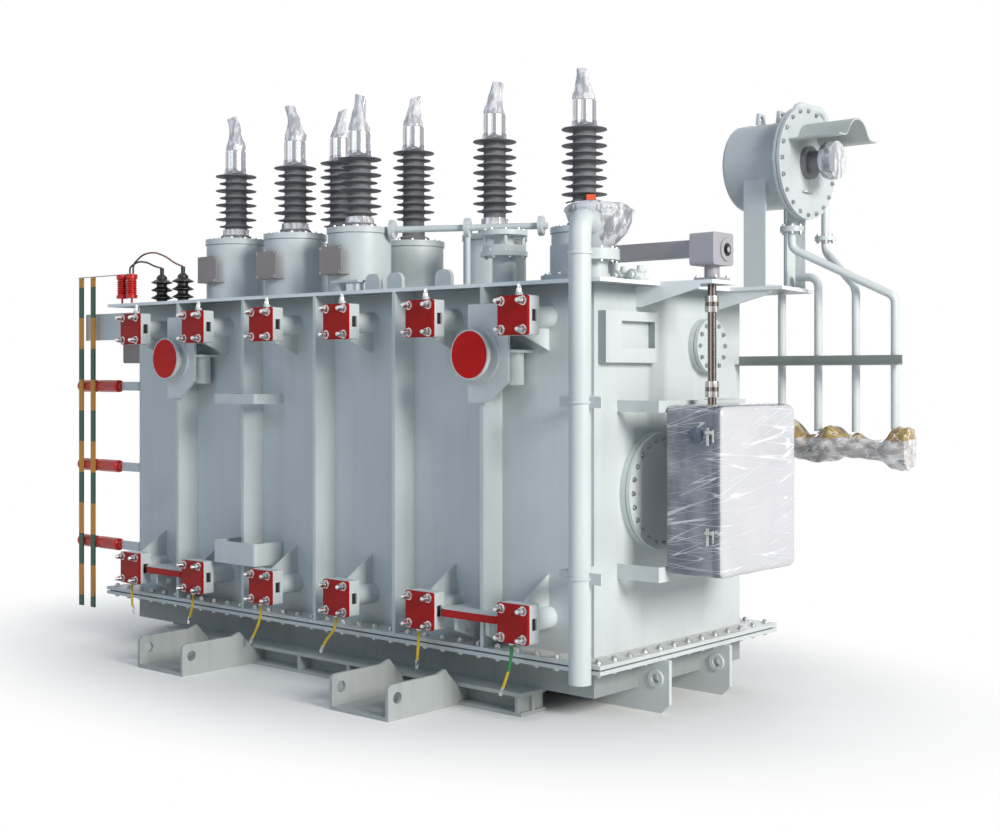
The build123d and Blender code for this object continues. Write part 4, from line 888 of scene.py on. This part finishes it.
class TRANSFORMER_OT_wraps(bpy.types.Operator):
    """Pulls film over the cabinet, terminals, collars, gauge, relief valve and pipe valves"""
    bl_idname = "transformer.wraps"
    bl_label = "Film wraps"

    def execute(self, context):
        wrapped("cabinet_film", "motor_cabinet", MATERIALS["cabinet"],
                voxel=0.010, size=0.30, depth=0.006, soften=34, tilt=0.7)
        bundle = rounded("pipe_valve_film", self.bundle, "stained_film")
        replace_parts(bundle, "pipe_valves")
        tips = rounded("terminal_film", self.tips, "film")
        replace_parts(tips, "terminal_wraps")
        rounded("collar_film", self.collars, "film")
        rounded("gauge_film", self.gauge, "bag")
        rounded("relief_valve_film", self.bag, "bag")
        return {"FINISHED"}

    def tips(self, work):
        """Sleeves on the terminals of both rows."""
        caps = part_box("bushing_caps")[1][2]
        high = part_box("terminal_wraps")[1][2]
        leans = (-0.044, -0.050, 0.012, 0.024, 0.020, 0.030, -0.016)
        rows = [(x, y, caps - 0.119, 0.228) for x, y in FRONT_ROW]
        rows += [(x, y, caps, high - caps - 0.008) for x, y in REAR_ROW]
        for i, (x, y, z, tall) in enumerate(rows):
            sleeve(work, Vector((x, y, z - 0.010)), tall + 0.006, leans[i], 0.014 if i < 2 else -0.006, 1.7 * i)

    def collars(self, work):
        """Film at the feet of the front bushings and of one rear one."""
        for i, (x, y) in enumerate(FRONT_ROW):
            collar_film(work, x, y, FRONT_TOP, 0.076, 2.3 * i)
        collar_film(work, *REAR_ROW[2], REAR_TOP, 0.110, 5.0)

    def gauge(self, work):
        """Film drawn over the face of the oil gauge."""
        middle = at(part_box("oil_gauge")[1][0] - 0.073, *centre("oil_gauge")[1:], "X")
        profile = [(0.066, 0.0), (0.094, 0.002), (0.103, 0.020), (0.104, 0.055), (0.1015, 0.0725),
                   (0.084, 0.078), (0.056, 0.080), (0.030, 0.081), (0.006, 0.081)]

        def pucker(turn, radius, level):
            out = radius * 30
            return 0.004 * noise.noise(Vector((out * math.cos(turn), out * math.sin(turn), level * 40)))
        spun(work, middle, profile, 36, pucker)

    def bag(self, work):
        """A bag over the relief valve, slack at one side."""
        tall = 0.244
        profile = [(0.066, 0.0), (0.075, 0.004), (0.093, 0.040), (0.114, 0.090), (0.132, 0.130), (0.147, 0.167),
                   (0.157, 0.196), (0.157, 0.212), (0.143, 0.230), (0.092, 0.243), (0.040, tall), (0.006, tall)]

        def slack(turn, radius, level):
            side = max(0.0, math.cos(turn - 0.72)) ** 0.8
            fold = noise.noise(Vector((4 * math.cos(turn), 4 * math.sin(turn), 8 * level)))
            hang = math.sin(math.pi * min(1.0, max(0.0, level / tall))) ** 0.7
            rim = 0.004 + 0.003 * fold if level > 0.18 else -0.010
            return rim + side * hang * (0.060 + 0.024 * fold)
        spun(work, at(*centre("relief_valve")[:2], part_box("relief_valve")[0][2]), profile, 80, slack)

    def bundle(self, work):
        """The valves of the drop pipes packed in one long bundle."""
        low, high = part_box("pipe_valves")
        count, loops = 64, []

        def lump(x, middle, wide):
            return math.exp(-((x - middle) / wide) ** 2)
        for k in range(count):
            x = low[0] + (high[0] - 0.004 - low[0]) * k / (count - 1)
            block = min(1.0, max(0.0, (x - high[0] + 0.165) / 0.05))
            top = 1.398 + 0.080 * lump(x, 2.500, 0.075) + 0.115 * lump(x, 2.240, 0.085)
            top += 0.075 * block + 0.030 * lump(x, 2.644, 0.05)
            foot = 1.288 - 0.022 * lump(x, 2.416, 0.09) + 0.014 * lump(x, 2.620, 0.10) - 0.040 * block
            deep = 0.058 + 0.020 * lump(x, 2.500, 0.08) + 0.022 * block
            shut = 0.55 if k in (0, count - 1) else 1.0
            loop = []
            for turn in turns(32):
                dent = noise.noise(Vector((x * 14, 2.0 * math.cos(turn), 2.0 * math.sin(turn))))
                crush = 1 + 0.22 * dent + 0.05 * math.sin(7 * turn + 30 * x)
                across = math.copysign(abs(math.cos(turn)) ** 0.8, math.cos(turn)) * deep * crush * shut
                rise = math.copysign(abs(math.sin(turn)) ** 0.8, math.sin(turn)) * (top - foot) / 2 * crush * shut
                loop.append(work.verts.new((x, 0.720 + across, (top + foot) / 2 + rise)))
            loops.append(loop)
        bridge(work, loops)


class TRANSFORMER_OT_trim(bpy.types.Operator):
    """Adds the painted shade in the valve windows, and the bushing necks, couplings, cover valves, latches, plug,
    handle and tag
    """
    bl_idname = "transformer.trim"
    bl_label = "Trim"

    def execute(self, context):
        window_shade_mesh = mesh_of(self.windows, "valve_window_painted_shade")
        put("valve_window_painted_shade", window_shade_mesh, MATERIALS["dark"])
        rounded("bushing_necks", self.necks, "neck")
        rounded("shaft_couplings", self.couplings, "coupling")
        rounded("cover_valves", self.cover_valves, "tank")
        put("cabinet_latches", mesh_of(self.latches, "cabinet_latches"), MATERIALS["zinc"])
        rounded("cabinet_plug", self.plug, "plug")
        rounded("drum_handle", self.handle, "zinc")
        rounded("bushing_tag", self.tag, "tag")
        return {"FINISHED"}

    def windows(self, work):
        """Dark sheets in the windows of the valve cheeks: painted shade in the recesses."""
        for x in VALVE_X:
            for z in VALVE_Z:
                for side in (-1, 1):
                    for cheek in (-1, 1):
                        near, far = sorted((x + cheek * 0.078, x + cheek * 0.090))
                        low, high = sorted((side * (VALVE_Y - 0.0176), side * (VALVE_Y + 0.0176)))
                        solid_box(work, (near, low, z - 0.0296), (far, high, z + 0.0296), 0.001)

    def necks(self, work):
        """Turned necks under the bushing caps."""
        low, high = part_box("bushing_caps")
        rows = [(x, y, low[2]) for x, y in FRONT_ROW] + [(x, y, high[2] - 0.130) for x, y in REAR_ROW]
        profile = [(0.060, -0.012), (0.071, -0.028), (0.090, -0.0405), (0.134, -0.0465), (0.135, -0.0445),
                   (0.092, -0.0375), (0.080, -0.024), (0.0745, -0.012), (0.0745, 0.001), (0.060, 0.001)]
        for x, y, z in rows:
            spun(work, at(x, y, z), profile, 40)

    def couplings(self, work):
        """Two couplings on the upright drive shaft."""
        profile = [(0.0228, 0.0), (0.0358, 0.0), (0.0364, 0.004), (0.0364, 0.030), (0.031, 0.034),
                   (0.031, 0.048), (0.0364, 0.052), (0.0364, 0.078), (0.0358, 0.082), (0.0228, 0.082)]
        for z in (1.636, 2.069):
            spun(work, at(SHAFT_X, DRIVE_Y, z), profile, 28)

    def cover_valves(self, work):
        """Three small valves with side spouts on the cover."""
        body = [(0.045, 0.0), (0.045, 0.012), (0.026, 0.014), (0.026, 0.046), (0.034, 0.048),
                (0.034, 0.060), (0.016, 0.062), (0.014, 0.082), (0.004, 0.084)]
        spout = [(0.018, 0.0), (0.018, 0.040), (0.032, 0.042), (0.032, 0.054), (0.020, 0.056),
                 (0.014, 0.066), (0.004, 0.067)]
        for x, y in ((1.760, -0.430), (1.900, -0.400), (2.020, -0.420)):
            spun(work, at(x, y, COVER_TOP), body, 24)
            spun(work, at(x, y - 0.020, COVER_TOP + 0.030, "-Y"), spout, 20)

    def latches(self, work):
        """Two latches beside the cabinet's door."""
        low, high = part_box("motor_cabinet")
        seam = high[0] - 0.055
        for z in (low[2] + 0.205, low[2] + 0.700):
            solid_box(work, (seam - 0.030, low[1] - 0.012, z - 0.045), (seam - 0.012, low[1] + 0.002, z + 0.045))
            solid_box(work, (seam - 0.034, low[1] - 0.018, z + 0.012), (seam + 0.012, low[1] - 0.010, z + 0.032))
            solid_box(work, (seam + 0.008, low[1] - 0.016, z - 0.030), (seam + 0.018, low[1] + 0.002, z + 0.036))

    def plug(self, work):
        """A round plug on the cabinet's side."""
        low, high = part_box("motor_cabinet")
        profile = [(0.004, 0.012), (0.034, 0.011), (0.039, 0.008), (0.041, 0.0), (0.030, -0.003)]
        spun(work, at(low[0] + 0.190, low[1], high[2] - 0.150, "-Y"), profile, 28)

    def handle(self, work):
        """A bent bar on the end of the drum."""
        middle = Vector((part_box("conservator_flanges")[1][0], 0.545, 2.745))
        half, thick = 0.045, 0.005
        route = [(-0.004, -half), (0.012, -0.044), (0.020, -0.034), (0.020, 0.034), (0.012, 0.044), (-0.004, half)]
        loops = []
        for out, along in route:
            lean = math.copysign(math.pi / 2 * min(1.0, abs(along) / half) ** 4, along)
            loop = []
            for turn in turns(10):
                across = thick * math.cos(turn)
                shift = Vector((across * math.cos(lean), across * math.sin(lean), thick * math.sin(turn)))
                loop.append(work.verts.new(middle + Vector((out, along, 0)) + shift))
            loops.append(loop)
        bridge(work, loops)

    def tag(self, work):
        """A strip of tape round part of one rear bushing."""
        x, y = REAR_ROW[3]
        loops = []
        for k in range(9):
            turn = -0.55 + 0.52 * (k / 8 - 0.5)
            corners = ((0.109, 0.147), (0.112, 0.146), (0.116, 0.186), (0.113, 0.187))
            loops.append([work.verts.new((x + far * math.cos(turn), y + far * math.sin(turn), REAR_TOP + high))
                          for far, high in corners])
        bridge(work, loops)


class TRANSFORMER_OT_stage(bpy.types.Operator):
    """Lays the floor, sets the lamps and places the camera"""
    bl_idname = "transformer.stage"
    bl_label = "Stage"

    def execute(self, context):
        scene = context.scene
        scene.view_settings.view_transform = "Standard"
        self.floor(scene)
        self.world(scene)
        self.lamp(scene, "key", place=(18.2, -3.6, 8.2), aim=(0.4, 0.0, 1.3), size=6.0, power=3250, colour="#FFFDF8")
        self.lamp(scene, "fill", place=(-0.5, -9.5, 7.0), aim=(0.0, 0.0, 1.2), size=4.0, power=185, colour="#C4DAF2")
        self.lamp(scene, "rear", place=(-6.0, 9.0, 6.0), aim=(0.0, 0.0, 1.4), size=5.0, power=420, colour="#EAF1FA")
        self.camera(scene)
        return {"FINISHED"}

    def seen(self, tree):
        """One on rays from the camera, straight or by way of a shiny or clear surface."""
        path = add(tree, "ShaderNodeLightPath").outputs
        straight = add(tree, MATH, {0: path["Is Camera Ray"], 1: path["Is Glossy Ray"]}, operation="MAXIMUM")
        return add(tree, MATH, {0: straight, 1: path["Is Transmission Ray"]}, operation="MAXIMUM")

    def floor(self, scene):
        """A pale floor that runs out to white a few metres from the object, where the camera sees it."""
        material, tree, shader, place = blank("pale_floor", 0.9)
        tone = mottle(tree, place, 900, 0.3, 0.7)
        pale = add(tree, MIX, {0: tone, 6: rgba("#F2F2F1"), 7: rgba("#EDEDEC")}, data_type="RGBA")
        feed(shader, {"Base Color": pale})
        flat = add(tree, MAPPING, {"Vector": place, "Scale": (0.62, 1.0, 0.0)})
        far = add(tree, VECTORS, {0: flat}, operation="LENGTH")
        away = add(tree, RANGE, {0: far, 1: 1.0, 2: 2.6}, interpolation_type="SMOOTHSTEP")
        share = add(tree, MATH, {0: self.seen(tree), 1: away}, operation="MULTIPLY")
        glow = add(tree, "ShaderNodeEmission", {"Color": rgba("#FFFFFF"), "Strength": 1.0})
        both = add(tree, "ShaderNodeMixShader", {0: share, 1: shader, 2: glow})
        feed(tree.nodes["Material Output"], {"Surface": both})
        mesh = bpy.data.meshes.new("floor")
        mesh.from_pydata([(-60, -60, 0), (60, -60, 0), (60, 60, 0), (-60, 60, 0)], [], [(0, 1, 2, 3)])
        mesh.materials.append(material)
        floor = bpy.data.objects.new("floor", mesh)
        scene.collection.objects.link(floor)

    def world(self, scene):
        """A soft sky for light, and plain white where the camera looks past the object."""
        world = bpy.data.worlds.new("studio")
        scene.world = world
        world.use_nodes = True
        tree = world.node_tree
        tree.nodes.clear()
        soft = add(tree, "ShaderNodeBackground", {"Color": rgba("#C9DAEE"), "Strength": 0.25})
        white = add(tree, "ShaderNodeBackground", {"Color": rgba("#FFFFFF"), "Strength": 1.0})
        both = add(tree, "ShaderNodeMixShader", {0: self.seen(tree), 1: soft, 2: white})
        add(tree, "ShaderNodeOutputWorld", {"Surface": both})

    def lamp(self, scene, name, place, aim, size, power, colour):
        """A square lamp turned to its aim."""
        data = bpy.data.lights.new(name, "AREA")
        data.size = size
        data.energy = power
        data.color = linear(colour)
        lamp = bpy.data.objects.new(name, data)
        lamp.location = place
        lamp.rotation_euler = (Vector(aim) - Vector(place)).to_track_quat("-Z", "Y").to_euler()
        scene.collection.objects.link(lamp)

    def camera(self, scene):
        """The photograph's camera, from its width, horizon and focal length in pixels."""
        data = bpy.data.cameras.new("camera")
        wide, middle, horizon, focal = 1000.0, 416.0, 376.56, 1457.0
        data.sensor_width = 36.0
        data.lens = data.sensor_width * focal / wide
        data.shift_y = -(middle - horizon) / wide
        camera = bpy.data.objects.new("camera", data)
        camera.location = (6.3811, -6.5326, 1.7416)
        camera.rotation_euler = (math.radians(90), 0, math.radians(40.989))
        scene.collection.objects.link(camera)
        scene.camera = camera


class TRANSFORMER_PT_panel(bpy.types.Panel):
    """Lists the steps of the dressing"""
    bl_idname = "TRANSFORMER_PT_panel"
    bl_label = "Transformer"
    bl_space_type = "VIEW_3D"
    bl_region_type = "UI"
    bl_category = "Transformer"

    def draw(self, context):
        for step in STEPS:
            self.layout.operator(step.bl_idname)
        for group in (context.scene.transformer_colours, context.scene.transformer_fasteners):
            for name in group.__annotations__:
                self.layout.prop(group, name)


STEPS = (TRANSFORMER_OT_stage, TRANSFORMER_OT_finishes, TRANSFORMER_OT_earth_leads,
         TRANSFORMER_OT_fasteners, TRANSFORMER_OT_wraps, TRANSFORMER_OT_trim)
CLASSES = (TransformerColours, TransformerFasteners, *STEPS, TRANSFORMER_PT_panel)


def register():
    for item in CLASSES:
        bpy.utils.register_class(item)
    bpy.types.Scene.transformer_colours = bpy.props.PointerProperty(type=TransformerColours)
    bpy.types.Scene.transformer_fasteners = bpy.props.PointerProperty(type=TransformerFasteners)


def unregister():
    del bpy.types.Scene.transformer_fasteners
    del bpy.types.Scene.transformer_colours
    for item in reversed(CLASSES):
        bpy.utils.unregister_class(item)


def main():
    register()
    bpy.ops.transformer.stage()
    bpy.ops.transformer.finishes()
    bpy.ops.transformer.earth_leads()
    bpy.ops.transformer.fasteners()
    bpy.ops.transformer.wraps()
    bpy.ops.transformer.trim()


if __name__ == "__main__":
    main()
